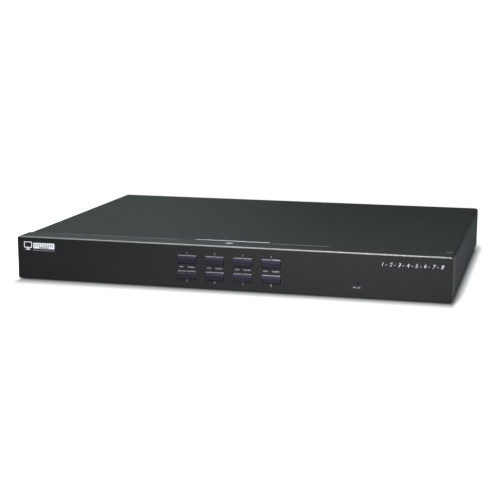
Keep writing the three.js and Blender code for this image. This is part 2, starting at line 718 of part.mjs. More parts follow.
function rearPanel() {
  const through = [PANEL_IN_Y - 1, PANEL_OUT_Y + 1];
  const [bottom, top] = REAR_PANEL_Z;
  const plate = outline([
    [-REAR_PANEL_X, bottom],
    [REAR_PANEL_X, bottom],
    [REAR_PANEL_X, top, REAR_PANEL_CORNER],
    [-REAR_PANEL_X, top, REAR_PANEL_CORNER],
  ]);
  const slab = prismAlongY(plate, [PANEL_IN_Y, PANEL_OUT_Y]);
  const weldFlange = (x0, x1) =>
    block([x0, x1], [PANEL_IN_Y - WELD_FLANGE.depth, PANEL_IN_Y + SHEET / 2], WELD_FLANGE.z);
  const window = (x, z, halfWidth, halfHeight) =>
    block(
      [x - halfWidth - CUTOUT_CLEARANCE, x + halfWidth + CUTOUT_CLEARANCE],
      through,
      [z - halfHeight - CUTOUT_CLEARANCE, z + halfHeight + CUTOUT_CLEARANCE],
    );
  const vents = Array.from({ length: VENT.count }, (_, i) => {
    const x = VENT.firstX + i * VENT.pitch;
    return block([x - VENT.halfWidth, x + VENT.halfWidth], through, VENT.z);
  });
  const vgaHoles = vgaPlaces.flatMap(({ x }) => [
    prismAlongY(dShape(CUTOUT_CLEARANCE, x, VGA_Z), through),
    bar("y", JACK_STUD + CUTOUT_CLEARANCE, through, [x - VGA_JACK_X, VGA_Z], 8),
    bar("y", JACK_STUD + CUTOUT_CLEARANCE, through, [x + VGA_JACK_X, VGA_Z], 8),
  ]);
  return cut(
    join(
      slab,
      weldFlange(-REAR_PANEL_X, -REAR_PANEL_X + SHEET),
      weldFlange(REAR_PANEL_X - SHEET, REAR_PANEL_X),
    ),
    ...vgaHoles,
    ...vents,
    window(CONSOLE_PS2_X, BOARD_TOP_Z + PS2_HEIGHT / 2, PS2_HALF_WIDTH, PS2_HEIGHT / 2),
    window(CONSOLE_USB_X, BOARD_TOP_Z + USB_HEIGHT / 2, USB_HALF_WIDTH, USB_HEIGHT / 2),
    window(INLET_X, POWER_Z, ...INLET_BODY),
    window(ROCKER_X, POWER_Z, ...ROCKER_BODY),
    ...lipScrews.map(({ at: [x, , z] }) => screwHole("y", through, [x, z])),
  );
}
addPiece(root, "rear_panel", rearPanel(), CASE_PAINT);

// ---- Circuit boards ----

const BOARD_SPAN_Z = [BOARD_Z, BOARD_TOP_Z];
const MAIN_BOARD = { x: [-141, 211.5], y: [-20, PANEL_IN_Y - 1.5] };
const SUPPLY_BOARD = { x: [-211.5, -147], y: [-30, 120] };
const KEY_BOARD_X = [-62, 144];
const flatBoard = ({ x, y }, screws) => {
  const holes = screws.map(({ at: [screwX, screwY] }) => screwHole("z", [0, 2 * BOARD_Z], [screwX, screwY]));
  return cut(block(x, y, BOARD_SPAN_Z), ...holes);
};
const mainBoard = flatBoard(MAIN_BOARD, mainBoardScrews);
const supplyBoard = flatBoard(SUPPLY_BOARD, supplyBoardScrews);
const keyBoard = cut(
  block(KEY_BOARD_X, [KEY_BOARD_Y, KEY_BOARD_BACK_Y], KEY_BOARD_Z),
  ...keyBoardScrews.map(({ at: [x, , z] }) =>
    screwHole("y", [KEY_BOARD_Y - 1, KEY_BOARD_BACK_Y + 1], [x, z]),
  ),
);
addPiece(root, "main_board", mainBoard, BOARD_LAMINATE);
addPiece(root, "supply_board", supplyBoard, BOARD_LAMINATE);
addPiece(root, "key_board", keyBoard, BOARD_LAMINATE);

// ---- Key caps and their lit switches ----
// A key's own frame: X across, Y 0 at the panel's face with +Y into the case, Z 0 at the key's middle.

const CAP_FLANGE_Y = [SHEET + 0.3, SHEET + 1.3]; // the lip that keeps the cap from falling out
const CAP_LIP = 1; // how far that lip reaches past the cap
const CAP_BEVEL = 0.5; // at the cap's left and right ends
const CAP_ROUNDING = 1.6; // along its upper and lower edges
const CAP_CROWN = 0.3; // the face stands this much further out along its middle
const SPLIT = { halfWidth: 0.3, depth: 0.4 }; // groove between the two lamp windows
const WINDOW = { x: [1.8, 8.5], halfHeight: 3.3, wall: 1 }; // hollow behind each window
const STEM_RADIUS = 1.5;
const SWITCH_HALF = [7, 3.5];
const SWITCH_LAMP = { x: 5, radius: 1.5, length: 2 };
const SWITCH_FRONT_Y = CAP_FLANGE_Y[1] + KEY_TRAVEL + 2.2; // leaves room behind a pressed cap
const SWITCH_BACK_Y = KEY_BOARD_Y - FRONT_Y - GAP;

function keyCap() {
  const halfWidth = KEY_WIDTH / 2;
  const halfHeight = KEY_HEIGHT / 2;
  const lipX = halfWidth + CAP_LIP;
  const lipZ = halfHeight + CAP_LIP;
  const side = outline([
    [-KEY_STANDS_OUT, 0],
    [CAP_CROWN - KEY_STANDS_OUT, -halfHeight, CAP_ROUNDING],
    [CAP_FLANGE_Y[1], -halfHeight],
    [CAP_FLANGE_Y[1], halfHeight],
    [CAP_CROWN - KEY_STANDS_OUT, halfHeight, CAP_ROUNDING],
  ]);
  const face = prismAlongX(side, [-halfWidth, halfWidth], CAP_BEVEL);
  const lip = block([-lipX, lipX], CAP_FLANGE_Y, [-lipZ, lipZ]);
  const split = block(
    [-SPLIT.halfWidth, SPLIT.halfWidth],
    [-KEY_STANDS_OUT - 1, SPLIT.depth - KEY_STANDS_OUT],
    [-lipZ, lipZ],
  );
  const windowBack = ([x0, x1]) =>
    block([x0, x1], [WINDOW.wall - KEY_STANDS_OUT, SWITCH_FRONT_Y], [-WINDOW.halfHeight, WINDOW.halfHeight]);
  const [near, far] = WINDOW.x;
  const stem = bar("y", STEM_RADIUS, [0.5, SWITCH_FRONT_Y + 1.5], [0, 0], 10);
  return join(cut(join(face, lip), split, windowBack([-far, -near]), windowBack([near, far])), stem);
}

function keySwitch() {
  const [halfX, halfZ] = SWITCH_HALF;
  const body = block([-halfX, halfX], [SWITCH_FRONT_Y, SWITCH_BACK_Y], [-halfZ, halfZ]);
  const lampSpan = [SWITCH_FRONT_Y - SWITCH_LAMP.length, SWITCH_FRONT_Y + 0.5];
  const lamp = (x) => bar("y", SWITCH_LAMP.radius, lampSpan, [x, 0], 10);
  const well = bar("y", STEM_RADIUS + 0.3, [SWITCH_FRONT_Y - 1, SWITCH_BACK_Y - 0.6], [0, 0], 10);
  return cut(join(body, lamp(-SWITCH_LAMP.x), lamp(SWITCH_LAMP.x)), well);
}

const cap = keyCap();
const lampSwitch = keySwitch();
keys.forEach(({ number, x, z }) => {
  const station = new THREE.Group();
  station.position.set(x, FRONT_Y, z);
  addPiece(station, `key_cap_${number}`, cap, KEY_PLASTIC);
  addPiece(station, `key_switch_${number}`, lampSwitch, BLACK_PLASTIC);
  root.add(station);
});

// ---- Power lamp ----

const lampDepth = KEY_BOARD_Y - FRONT_Y - GAP;
const lampGeometry = turned(
  [
    [0, -lampDepth],
    [1.9, -lampDepth],
    [1.9, -5],
    [1.5, -5],
    [1.5, -1.8],
    [1.0, -1.2],
    [0, -1.2],
  ],
  12,
);
addPiece(root, "power_lamp", solidOf(lampGeometry), LAMP_GREEN, [LAMP_X, FRONT_Y, LAMP_Z], HEAD.front);

// ---- Parts on the boards ----

const onBoard = BOARD_TOP_Z + GAP;

const TRANSFORMER_AT = [-182, 30, onBoard];
const CAPACITOR_AT = [-190, 72, onBoard];
const CHIP_AT = [80, 60, onBoard];

function transformer() {
  const core = block([-14, 14], [-11, 11], [0, 22]);
  const winding = prismAlongY(rectangle(-10, 10, 2, 20, 4, 3), [-15, 15]);
  return join(core, winding);
}
addPiece(root, "mains_transformer", transformer(), CORE_YELLOW, TRANSFORMER_AT);

// A can with a crimped groove near its foot.
const CAN = { radius: 8, height: 25, grooveZ: 3.6, grooveHalf: 0.6, grooveDepth: 0.4 };
const capacitorCan = turned(
  [
    [0, 0],
    [CAN.radius, 0],
    [CAN.radius, CAN.grooveZ - CAN.grooveHalf],
    [CAN.radius - CAN.grooveDepth, CAN.grooveZ],
    [CAN.radius, CAN.grooveZ + CAN.grooveHalf],
    [CAN.radius, CAN.height],
    [0, CAN.height],
  ],
  16,
);
addPiece(root, "bulk_capacitor", solidOf(capacitorCan), BLACK_PLASTIC, CAPACITOR_AT);

const CHIP = { half: 12, thickness: 1.6 };
const chipBody = block([-CHIP.half, CHIP.half], [-CHIP.half, CHIP.half], [0, CHIP.thickness]);
addPiece(root, "switching_chip", chipBody, BLACK_PLASTIC, CHIP_AT);

// ---- Harnesses ----

// A flat band in (Y, Z) that follows points with a given thickness.
function bandOutline(points, thickness, steps) {
  const curve = new THREE.SplineCurve(points.map(([y, z]) => new THREE.Vector2(y, z)));
  const offset = (side) => (t) => {
    const along = curve.getTangent(t);
    const normal = new THREE.Vector2(-along.y, along.x);
    return curve.getPoint(t).addScaledVector(normal, (side * thickness) / 2);
  };
  const stations = Array.from({ length: steps + 1 }, (_, i) => i / steps);
  return new THREE.Shape([...stations.map(offset(-1)), ...stations.reverse().map(offset(1))]);
}

function lead(radius, points, steps) {
  const path = new THREE.CatmullRomCurve3(points.map((point) => new THREE.Vector3(...point)));
  const round = new THREE.Shape();
  round.absarc(0, 0, radius, 0, 2 * Math.PI);
  const geometry = new THREE.ExtrudeGeometry(round, { extrudePath: path, steps, curveSegments: 4 });
  return solidOf(geometry);
}

function ribbonCable() {
  const ribbonX = [50, 70];
  const plugX = [48, 72];
  const plugY = KEY_BOARD_BACK_Y + GAP;
  const band = bandOutline(
    [
      [plugY + 5, 24],
      [plugY + 12, 20],
      [plugY + 20, 6],
      [plugY + 30, 3.2],
      [-50, 3.2],
      [-36, 8],
      [-26, 15],
      [-12, 14.5],
    ],
    1,
    20,
  );
  return join(
    prismAlongX(band, ribbonX),
    block(plugX, [plugY, plugY + 6], [20, 28]),
    block(plugX, [-15, -7], [onBoard, 16]),
  );
}
addPiece(root, "ribbon_cable", ribbonCable(), CABLE_GREY);

function lowVoltageHarness() {
  return join(
    lead(
      1.6,
      [
        [-155, -14, 13],
        [-155, -14, 22],
        [-142, -8, 27],
        [-128, 0, 22],
        [-128, 2, 13],
      ],
      10,
    ),
    block([-160, -150], [-17, -11], [onBoard, 15]),
    block([-133, -123], [-1, 5], [onBoard, 15]),
  );
}
addPiece(root, "low_voltage_harness", lowVoltageHarness(), LEAD_BLACK);

function mainsHarness() {
  const plugTop = [-178, 105, 15];
  const inletBack = PANEL_OUT_Y - INLET_DEPTH;
  const switchBack = PANEL_OUT_Y - 14;
  return join(
    lead(1.8, [plugTop, [-180, 107, 26], [-188, 120, 24], [-190, inletBack - 4, POWER_Z]], 8),
    lead(1.8, [plugTop, [-176, 107, 26], [-164, 124, 25], [ROCKER_X, switchBack - 3, POWER_Z]], 8),
    block([-184, -172], [100, 110], [onBoard, 18]),
    block([-196, -184], [inletBack - 7, inletBack - 0.3], [POWER_Z - 4, POWER_Z + 4]),
    block([ROCKER_X - 4, ROCKER_X + 4], [switchBack - 6, switchBack - 0.3], [POWER_Z - 4, POWER_Z + 4]),
  );
}
addPiece(root, "mains_harness", mainsHarness(), LEAD_BLACK);

// ---- Screws ----

[...coverSideScrews, flangeScrew, ...footScrews].forEach(({ name, at, head, size = FLUSH_SCREW }) => {
  addPiece(root, name, flushScrew(size), BLACK_STEEL, at, head);
});
[...lipScrews, ...boardScrews, ...keyBoardScrews].forEach(({ name, at, head }) => {
  addPiece(root, name, panScrew, PLATED_STEEL, at, head);
});

export default root;
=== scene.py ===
# Looks for the KVM switch: every visible piece, its finish, the lights and the camera.
# Shapes are worked out in millimetres in the CAD part's own frame: +Z up, front towards -Y.

import math

import bmesh
import bpy
from mathutils import Matrix, Vector

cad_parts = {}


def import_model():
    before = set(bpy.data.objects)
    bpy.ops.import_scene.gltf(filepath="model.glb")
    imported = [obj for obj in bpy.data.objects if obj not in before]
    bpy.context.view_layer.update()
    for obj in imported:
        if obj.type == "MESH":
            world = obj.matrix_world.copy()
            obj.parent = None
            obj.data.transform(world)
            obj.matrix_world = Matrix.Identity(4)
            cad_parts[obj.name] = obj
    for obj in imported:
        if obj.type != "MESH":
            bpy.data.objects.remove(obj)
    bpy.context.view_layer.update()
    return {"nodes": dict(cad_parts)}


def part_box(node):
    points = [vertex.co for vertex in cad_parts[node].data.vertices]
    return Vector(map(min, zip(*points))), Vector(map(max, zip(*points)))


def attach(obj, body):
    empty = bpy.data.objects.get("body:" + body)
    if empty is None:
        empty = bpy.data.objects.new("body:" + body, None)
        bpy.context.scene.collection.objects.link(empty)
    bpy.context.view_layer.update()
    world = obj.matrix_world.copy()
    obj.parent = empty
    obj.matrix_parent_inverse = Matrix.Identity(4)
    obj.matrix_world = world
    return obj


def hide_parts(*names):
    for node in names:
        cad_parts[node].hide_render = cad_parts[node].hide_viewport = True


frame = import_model()

MM = 0.001
SHEET = 1.0


def box_of(node):
    low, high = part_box(node)
    return low / MM, high / MM


def middle_of(node):
    low, high = box_of(node)
    return (low + high) / 2


CASE_LOW, CASE_HIGH = box_of("front_panel")
FACE_Y = CASE_LOW.y
CASE_TOP = CASE_HIGH.z
REAR_FACE_Y = box_of("rear_panel")[1].y
BOARD_TOP = box_of("main_board")[1].z


# ---- Finishes ----


def scaled(colour, share):
    return (*(min(1, part * share) for part in colour), 1)


class Graph:
    """A material's nodes, with short ways to add the ones used here."""

    def __init__(self, name):
        self.material = bpy.data.materials.new(name)
        self.material.use_nodes = True
        self.nodes = self.material.node_tree.nodes
        self.links = self.material.node_tree.links
        self.shader = self.nodes["Principled BSDF"]
        self.place = self.nodes.new("ShaderNodeTexCoord").outputs["Object"]

    def plug(self, socket, value):
        """Links another node's output to a socket, or sets the socket to a plain value."""
        if isinstance(value, bpy.types.NodeSocket):
            self.links.new(value, socket)
        else:
            socket.default_value = value

    def node(self, kind, inputs=None, **settings):
        made = self.nodes.new(f"ShaderNode{kind}")
        for key, value in settings.items():
            setattr(made, key, value)
        for key, value in (inputs or {}).items():
            self.plug(made.inputs[key], value)
        return made

    def stretched(self, scale):
        return self.node("Mapping", {"Vector": self.place, "Scale": scale}).outputs["Vector"]

    def noise(self, scale, detail=3.0, at=None):
        inputs = {"Vector": at or self.place, "Scale": scale, "Detail": detail, "Roughness": 0.6}
        return self.node("TexNoise", inputs).outputs["Fac"]

    def spread(self, value, low, high, start=0.25, end=0.75):
        inputs = {"Value": value, "From Min": start, "From Max": end, "To Min": low, "To Max": high}
        return self.node("MapRange", inputs).outputs["Result"]

    def mix(self, factor, first, second):
        inputs = {0: factor, 6: first, 7: second}
        return self.node("Mix", inputs, data_type="RGBA").outputs[2]

    def math(self, operation, first, second):
        return self.node("Math", {0: first, 1: second}, operation=operation).outputs[0]

    def vector(self, operation, *terms, result="Vector"):
        return self.node("VectorMath", dict(enumerate(terms)), operation=operation).outputs[result]

    def edges(self, radius):
        """0 on flat stretches, rising to 1 on edges sharper than the radius."""
        soft = self.node("Bevel", {"Radius": radius}, samples=4).outputs["Normal"]
        flat = self.node("NewGeometry").outputs["Normal"]
        likeness = self.vector("DOT_PRODUCT", soft, flat, result="Value")
        return self.spread(likeness, 1, 0, 0.75, 0.98)

    def bumpy(self, height, strength, distance):
        inputs = {"Height": height, "Strength": strength, "Distance": distance}
        return self.node("Bump", inputs).outputs["Normal"]

    def set(self, **inputs):
        for key, value in inputs.items():
            self.plug(self.shader.inputs[key.replace("_", " ")], value)


FINISHES = {}
RUBBED_WIDTH = 0.0004  # metres of each edge that wear lightens
GRAIN_HEIGHT = 0.00006


def finish(
    name,
    colour,
    roughness=0.5,
    metal=0.0,
    shade=0.12,
    cloud=35.0,
    grain=1400.0,
    depth=0.12,
    specular=0.5,
    worn=None,
    stretch=(1, 1, 1),
    coat=0.0,
):
    """Cloudy colour, uneven roughness and fine grain, with rubbed edges where a worn colour is given."""
    graph = Graph(name)
    at = graph.stretched(stretch)
    clouds = graph.noise(cloud, 5, at)
    fine = graph.noise(grain, 2, at)
    tone = graph.mix(graph.spread(clouds, 0, 1), scaled(colour, 1 - shade), scaled(colour, 1 + shade))
    tone = graph.mix(graph.spread(fine, 0, shade), tone, scaled(colour, 1.6))
    if worn:
        edges = graph.edges(RUBBED_WIDTH)
        patches = graph.spread(graph.noise(260, 4), 0, 0.7, 0.35, 0.7)
        tone = graph.mix(graph.math("MULTIPLY", edges, patches), tone, (*worn, 1))
    sway = 0.7 * shade
    smudges = graph.noise(cloud * 3, 4, at)
    uneven = graph.spread(smudges, roughness * (1 - sway), roughness * (1 + sway))
    graph.set(Base_Color=tone, Roughness=uneven, Metallic=metal, Specular_IOR_Level=specular)
    graph.set(Normal=graph.bumpy(fine, depth, GRAIN_HEIGHT), Coat_Weight=coat, Coat_Roughness=0.12)
    FINISHES[name] = graph.material


def board_finish(name):
    """Green solder mask over copper tracks, with tinned rings where tracks meet."""
    graph = Graph(name)
    tracks = graph.node("TexVoronoi", {"Vector": graph.place, "Scale": 170}, feature="DISTANCE_TO_EDGE")
    aside = graph.node("Mapping", {"Vector": graph.place, "Location": (0.03, 0.01, 0.02)})
    fine_at = aside.outputs["Vector"]
    fine = graph.node("TexVoronoi", {"Vector": fine_at, "Scale": 420}, feature="DISTANCE_TO_EDGE")
    wide_line = graph.spread(tracks.outputs["Distance"], 1, 0, 0.03, 0.06)
    thin_line = graph.spread(fine.outputs["Distance"], 1, 0, 0.03, 0.07)
    lines = graph.math("MAXIMUM", wide_line, thin_line)
    dots = graph.node("TexVoronoi", {"Vector": graph.place, "Scale": 210})
    rings = graph.spread(dots.outputs["Distance"], 1, 0, 0.1, 0.13)
    deep_green, light_green = (0.006, 0.07, 0.022, 1), (0.01, 0.1, 0.035, 1)
    track_green, tin = (0.02, 0.17, 0.06, 1), (0.62, 0.6, 0.52, 1)
    mask = graph.mix(graph.spread(graph.noise(25, 4), 0, 1), deep_green, light_green)
    mask = graph.mix(lines, mask, track_green)
    mask = graph.mix(rings, mask, tin)
    graph.set(Base_Color=mask, Metallic=graph.math("MULTIPLY", rings, 0.9), Specular_IOR_Level=0.5)
    graph.set(Roughness=graph.spread(graph.noise(300, 3), 0.28, 0.42))
    graph.set(Normal=graph.bumpy(lines, 0.35, 0.00005))
    FINISHES[name] = graph.material


CASE_TONE = (0.0105, 0.0135, 0.0138)
FRONT_TONE = (0.0109, 0.0114, 0.0121)
STEEL = (0.55, 0.56, 0.57)
GOLD = (0.78, 0.58, 0.28)
CASE_WEAR = (0.10, 0.105, 0.11)
FRONT_WEAR = (0.16, 0.165, 0.17)
SCREW_WEAR = (0.1, 0.1, 0.11)

finish("case_paint", CASE_TONE, 0.52, shade=0.05, cloud=9, depth=0.18, specular=0.16, worn=CASE_WEAR)
finish("front_paint", FRONT_TONE, 0.46, shade=0.05, cloud=9, depth=0.12, specular=0.22, worn=FRONT_WEAR)
# Painted highlights: lighter finishes for the front panel's lip beads and its upper bend, standing in for
# the light these edges catch.
finish("lip_painted_highlight", (0.33, 0.34, 0.35), 0.34, 0.35, shade=0.3, cloud=45, specular=0.5)
finish("lip_painted_dim_highlight", (0.085, 0.088, 0.09), 0.4, 0.1, shade=0.3, cloud=45, specular=0.4)
finish("bend_painted_highlight", (0.15, 0.154, 0.158), 0.36, 0.3, shade=0.15, cloud=30, specular=0.5)
finish("smoked_lens", (0.006, 0.0061, 0.0118), 0.3, shade=0.1, cloud=90, depth=0.03, specular=0.32)
# Painted light on the smoked caps: a painted sheen for faces tilted upwards and a painted highlight for the
# top rounding.
finish("lens_painted_sheen", (0.017, 0.017, 0.026), 0.28, shade=0.12, cloud=90, depth=0.03, specular=0.5)
finish("lens_painted_highlight", (0.075, 0.075, 0.085), 0.25, shade=0.15, cloud=90, depth=0.03, specular=0.7)
finish("lens_back", (0.016, 0.016, 0.022), 0.5)
finish("black_plastic", (0.016, 0.0165, 0.017), 0.48, grain=2200, worn=(0.06, 0.06, 0.06))
finish("satin_plastic", (0.014, 0.0145, 0.015), 0.33, grain=2600, depth=0.06, worn=(0.05, 0.05, 0.05))
finish("white_plastic", (0.62, 0.6, 0.54), 0.42, shade=0.06)
finish("port_blue", (0.012, 0.035, 0.25), 0.42, grain=2600)
finish("port_violet", (0.13, 0.05, 0.27), 0.42, grain=2600)
finish("port_green", (0.04, 0.27, 0.1), 0.42, grain=2600)
finish("nickel", STEEL, 0.24, 1.0, shade=0.07, cloud=120, grain=3000, depth=0.06, stretch=(1, 1, 6))
finish("zinc_screw", (0.5, 0.5, 0.49), 0.32, 1.0, shade=0.12, cloud=300, grain=2400)
finish("side_screw", (0.0015, 0.0015, 0.002), 0.35, shade=0.15, cloud=300, specular=0.2, worn=SCREW_WEAR)
finish("plated_head", (0.24, 0.245, 0.25), 0.36, 0.25, shade=0.12, cloud=300, worn=(0.55, 0.55, 0.56))
finish("bright_screw", (0.22, 0.23, 0.24), 0.3, 0.8, shade=0.15, cloud=300, worn=(0.5, 0.5, 0.51))
finish("gold_contact", GOLD, 0.22, 1.0, shade=0.08)
finish("solder", (0.6, 0.6, 0.62), 0.28, 1.0, shade=0.15, cloud=600)
finish("chip_epoxy", (0.012, 0.012, 0.013), 0.55, grain=3000, depth=0.2)
finish("ceramic_tan", (0.32, 0.22, 0.13), 0.5, shade=0.2)
finish("ferrite", (0.045, 0.043, 0.042), 0.6, shade=0.2, grain=2400, depth=0.25)
finish("winding_tape", (0.62, 0.4, 0.05), 0.36, shade=0.08, coat=0.2, stretch=(1, 1, 9))
finish("can_sleeve", (0.01, 0.013, 0.03), 0.3, shade=0.1, coat=0.3)
finish("can_top", (0.6, 0.6, 0.6), 0.3, 1.0)
finish("ribbon_grey", (0.3, 0.31, 0.32), 0.5, shade=0.06)
finish("ribbon_red", (0.34, 0.025, 0.02), 0.5)
finish("lead_black", (0.018, 0.018, 0.02), 0.42)
finish("lead_red", (0.4, 0.02, 0.015), 0.42)
finish("lead_yellow", (0.55, 0.38, 0.03), 0.42)
finish("lead_brown", (0.13, 0.05, 0.02), 0.42)
finish("lead_blue", (0.02, 0.06, 0.3), 0.42)
finish("ink_white", (0.72, 0.74, 0.78), 0.6, shade=0.05, specular=0.2)
finish("ink_pale", (0.33, 0.34, 0.36), 0.6, shade=0.06, specular=0.2)
finish("ink_black", (0.012, 0.012, 0.013), 0.6, shade=0.08, specular=0.2)
finish("ink_grey", (0.155, 0.16, 0.175), 0.6, shade=0.08, specular=0.2)
# The power lamp's lens: dark green, made near black as painted shade for the hole it sits in.
finish("lamp_lens_painted_shade", (0.0008, 0.0024, 0.001), 0.3, shade=0.1, specular=0.12)
finish("lamp_milky", (0.55, 0.56, 0.5), 0.22, shade=0.05, coat=0.4)
board_finish("board_mask")

FINISH_ORDER = list(FINISHES)


# ---- Shapes ----

EASED_ANGLE = math.radians(32)  # a solid's edges that turn more than this are rounded
FOLD_ANGLE = math.radians(50)  # and a folded sheet's edges that turn more than this
FACING = 0.9999  # a face this close to an axis counts as flat to it


def along(axis, value, pair):
    """The point at a value along an axis whose other two coordinates, in order, are the pair."""
    first, second = pair
    return {"x": (value, first, second), "y": (first, value, second), "z": (first, second, value)}[axis]


def circle(radius, centre=(0, 0), sides=32, turn=0.0):
    angles = [turn + 2 * math.pi * i / sides for i in range(sides)]
    return [(centre[0] + radius * math.cos(a), centre[1] + radius * math.sin(a)) for a in angles]


def rounded(corners, radius, steps=4):
    """A convex outline with every corner rounded; corners run anticlockwise."""
    points = []
    for i, corner in enumerate(corners):
        here = Vector(corner)
        back = (Vector(corners[i - 1]) - here).normalized()
        ahead = (Vector(corners[(i + 1) % len(corners)]) - here).normalized()
        half = math.acos(max(-1, min(1, back.dot(ahead)))) / 2
        centre = here + (back + ahead).normalized() * radius / math.sin(half)
        start = here + back * radius / math.tan(half) - centre
        sweep = math.pi - 2 * half
        for step in range(steps + 1):
            points.append(tuple(centre + Matrix.Rotation(sweep * step / steps, 2) @ start))
    return points


def rectangle(half_width, half_height, radius=0.0, centre=(0, 0), steps=4):
    x, y = centre
    corners = [
        (x - half_width, y - half_height),
        (x + half_width, y - half_height),
        (x + half_width, y + half_height),
        (x - half_width, y + half_height),
    ]
    return rounded(corners, radius, steps) if radius else corners


def smooth_path(points, steps=8):
    """A path through the points, rounded by a Catmull-Rom curve."""
    ends = [2 * Vector(points[0]) - Vector(points[1]), *map(Vector, points)]
    ends.append(2 * Vector(points[-1]) - Vector(points[-2]))
    path = []
    for a, b, c, d in zip(ends, ends[1:], ends[2:], ends[3:]):
        for step in range(steps):
            t = step / steps
            square = (2 * a - 5 * b + 4 * c - d) * t**2
            cube = (3 * b - a - 3 * c + d) * t**3
            path.append(0.5 * (2 * b + (c - a) * t + square + cube))
    return [*path, Vector(points[-1])]


def wall(low, high, count):
    """Quads between two rings of points, each given by the number of its first point."""
    return [(low + i, low + (i + 1) % count, high + (i + 1) % count, high + i) for i in range(count)]


def skin(points, count):
    """The faces of rings laid one after another: the two end rings, then the walls between neighbours."""
    total = len(points)
    faces = [tuple(range(count)), tuple(range(total - count, total))]
    for low in range(0, total - count, count):
        faces += wall(low, low + count, count)
    return faces


class Part:
    """Closed solids in millimetres, each with its own finish, that become one piece."""

    def __init__(self):
        self.bm = bmesh.new()

    def ease(self, edges, width):
        """Rounds edges over to the given width."""
        bmesh.ops.bevel(
            self.bm,
            geom=edges,
            offset=width,
            segments=2,
            profile=0.5,
            affect="EDGES",
            clamp_overlap=True,
        )

    def solid(self, points, faces, look, bevel=0.0):
        first_edge = len(self.bm.edges)
        verts = [self.bm.verts.new(point) for point in points]
        made = [self.bm.faces.new([verts[i] for i in face]) for face in faces]
        for face in made:
            face.material_index = FINISH_ORDER.index(look)
        bmesh.ops.recalc_face_normals(self.bm, faces=made)
        if bevel:
            self.bm.edges.ensure_lookup_table()
            new_edges = self.bm.edges[first_edge:]
            self.ease([e for e in new_edges if e.calc_face_angle(0) > EASED_ANGLE], bevel)
        return self

    def box(self, x, y, z, look, bevel=0.12):
        points = [(i, j, k) for i in x for j in y for k in z]
        faces = [(0, 1, 3, 2), (4, 6, 7, 5), (0, 4, 5, 1), (2, 3, 7, 6), (0, 2, 6, 4), (1, 5, 7, 3)]
        return self.solid(points, faces, look, bevel)

    def block(self, x, y, half_x, half_y, z, look, bevel=0.12):
        """A box about a point in plan."""
        return self.box((x - half_x, x + half_x), (y - half_y, y + half_y), z, look, bevel)

    def loft(self, sections, look, axis="y", bevel=0.0):
        """Joins outlines of equal point count, each at its own place on the axis, and closes both ends."""
        points = [along(axis, value, point) for value, outline in sections for point in outline]
        return self.solid(points, skin(points, len(sections[0][1])), look, bevel)

    def prism(self, outline, span, look, axis="y", bevel=0.0):
        return self.loft([(span[0], outline), (span[1], outline)], look, axis, bevel)

    def rod(self, radius, span, centre, look, axis="y", sides=24, bevel=0.0):
        return self.prism(circle(radius, centre, sides), span, look, axis, bevel)

    def sleeve(self, outer, inner, span, look, axis="y", lip=0.15):
        """A wall between two outlines of equal point count, with its outer end rounded."""
        start, end = span
        count = len(outer)

        def between(share):
            return [tuple(Vector(a).lerp(Vector(b), share)) for a, b in zip(outer, inner)]

        rings = [(start, outer), (end - lip, outer), (end, between(0.3)), (end, between(0.7))]
        rings += [(end - lip, inner), (start, inner)]
        points = [along(axis, value, point) for value, ring in rings for point in ring]
        faces = []
        for level in range(len(rings)):
            faces += wall(level * count, (level + 1) % len(rings) * count, count)
        return self.solid(points, faces, look)

    def lathe(self, profile, look, axis="z", centre=(0, 0), sides=32):
        """A turned solid: the profile's (radius, value) points start and end on the axis."""
        points, rings, faces = [], [], []
        for radius, value in profile:
            ring = circle(radius, centre, sides) if radius else [centre]
            rings.append(range(len(points), len(points) + len(ring)))
            points += [along(axis, value, point) for point in ring]
        for low, high in zip(rings, rings[1:]):
            for i in range(sides):
                j = (i + 1) % sides
                corners = [low[i % len(low)], low[j % len(low)], high[j % len(high)], high[i % len(high)]]
                faces.append(tuple(dict.fromkeys(corners)))
        return self.solid(points, faces, look)

    def sweep(self, section, path, look, side=Vector((1, 0, 0))):
        """Carries a section, drawn in (side, normal) coordinates, along a path, and closes both ends."""
        points = []
        for i, point in enumerate(path):
            ahead = (path[min(i + 1, len(path) - 1)] - path[max(i - 1, 0)]).normalized()
            across = (side - ahead * side.dot(ahead)).normalized()
            up = ahead.cross(across)
            points += [tuple(point + across * a + up * b) for a, b in section]
        return self.solid(points, skin(points, len(section)), look)

    def lead(self, points, radius, look, side=Vector((1, 0, 0)), sides=10):
        return self.sweep(circle(radius, sides=sides), smooth_path(points), look, side)

    def mesh(self):
        made = bpy.data.meshes.new("shape")
        self.bm.to_mesh(made)
        return made

    def absorb(self, other, matrix=Matrix.Identity(4)):
        made = other.mesh()
        made.transform(matrix)
        self.bm.from_mesh(made)
        bpy.data.meshes.remove(made)
        return self

    def cut(self, tool):
        """Takes the tool's volume away."""
        body, cutter = (bpy.data.objects.new("cutting", part.mesh()) for part in (self, tool))
        for thing in (body, cutter):
            bpy.context.scene.collection.objects.link(thing)
            for look in FINISHES.values():
                thing.data.materials.append(look)
        modifier = body.modifiers.new("cut", "BOOLEAN")
        modifier.operation = "DIFFERENCE"
        modifier.solver = "EXACT"
        modifier.object = cutter
        depsgraph = bpy.context.evaluated_depsgraph_get()
        result = bpy.data.meshes.new_from_object(body.evaluated_get(depsgraph))
        self.bm.free()
        self.bm = bmesh.new()
        self.bm.from_mesh(result)
        for thing in (body, cutter):
            data = thing.data
            bpy.data.objects.remove(thing)
            bpy.data.meshes.remove(data)
        bpy.data.meshes.remove(result)
        return self


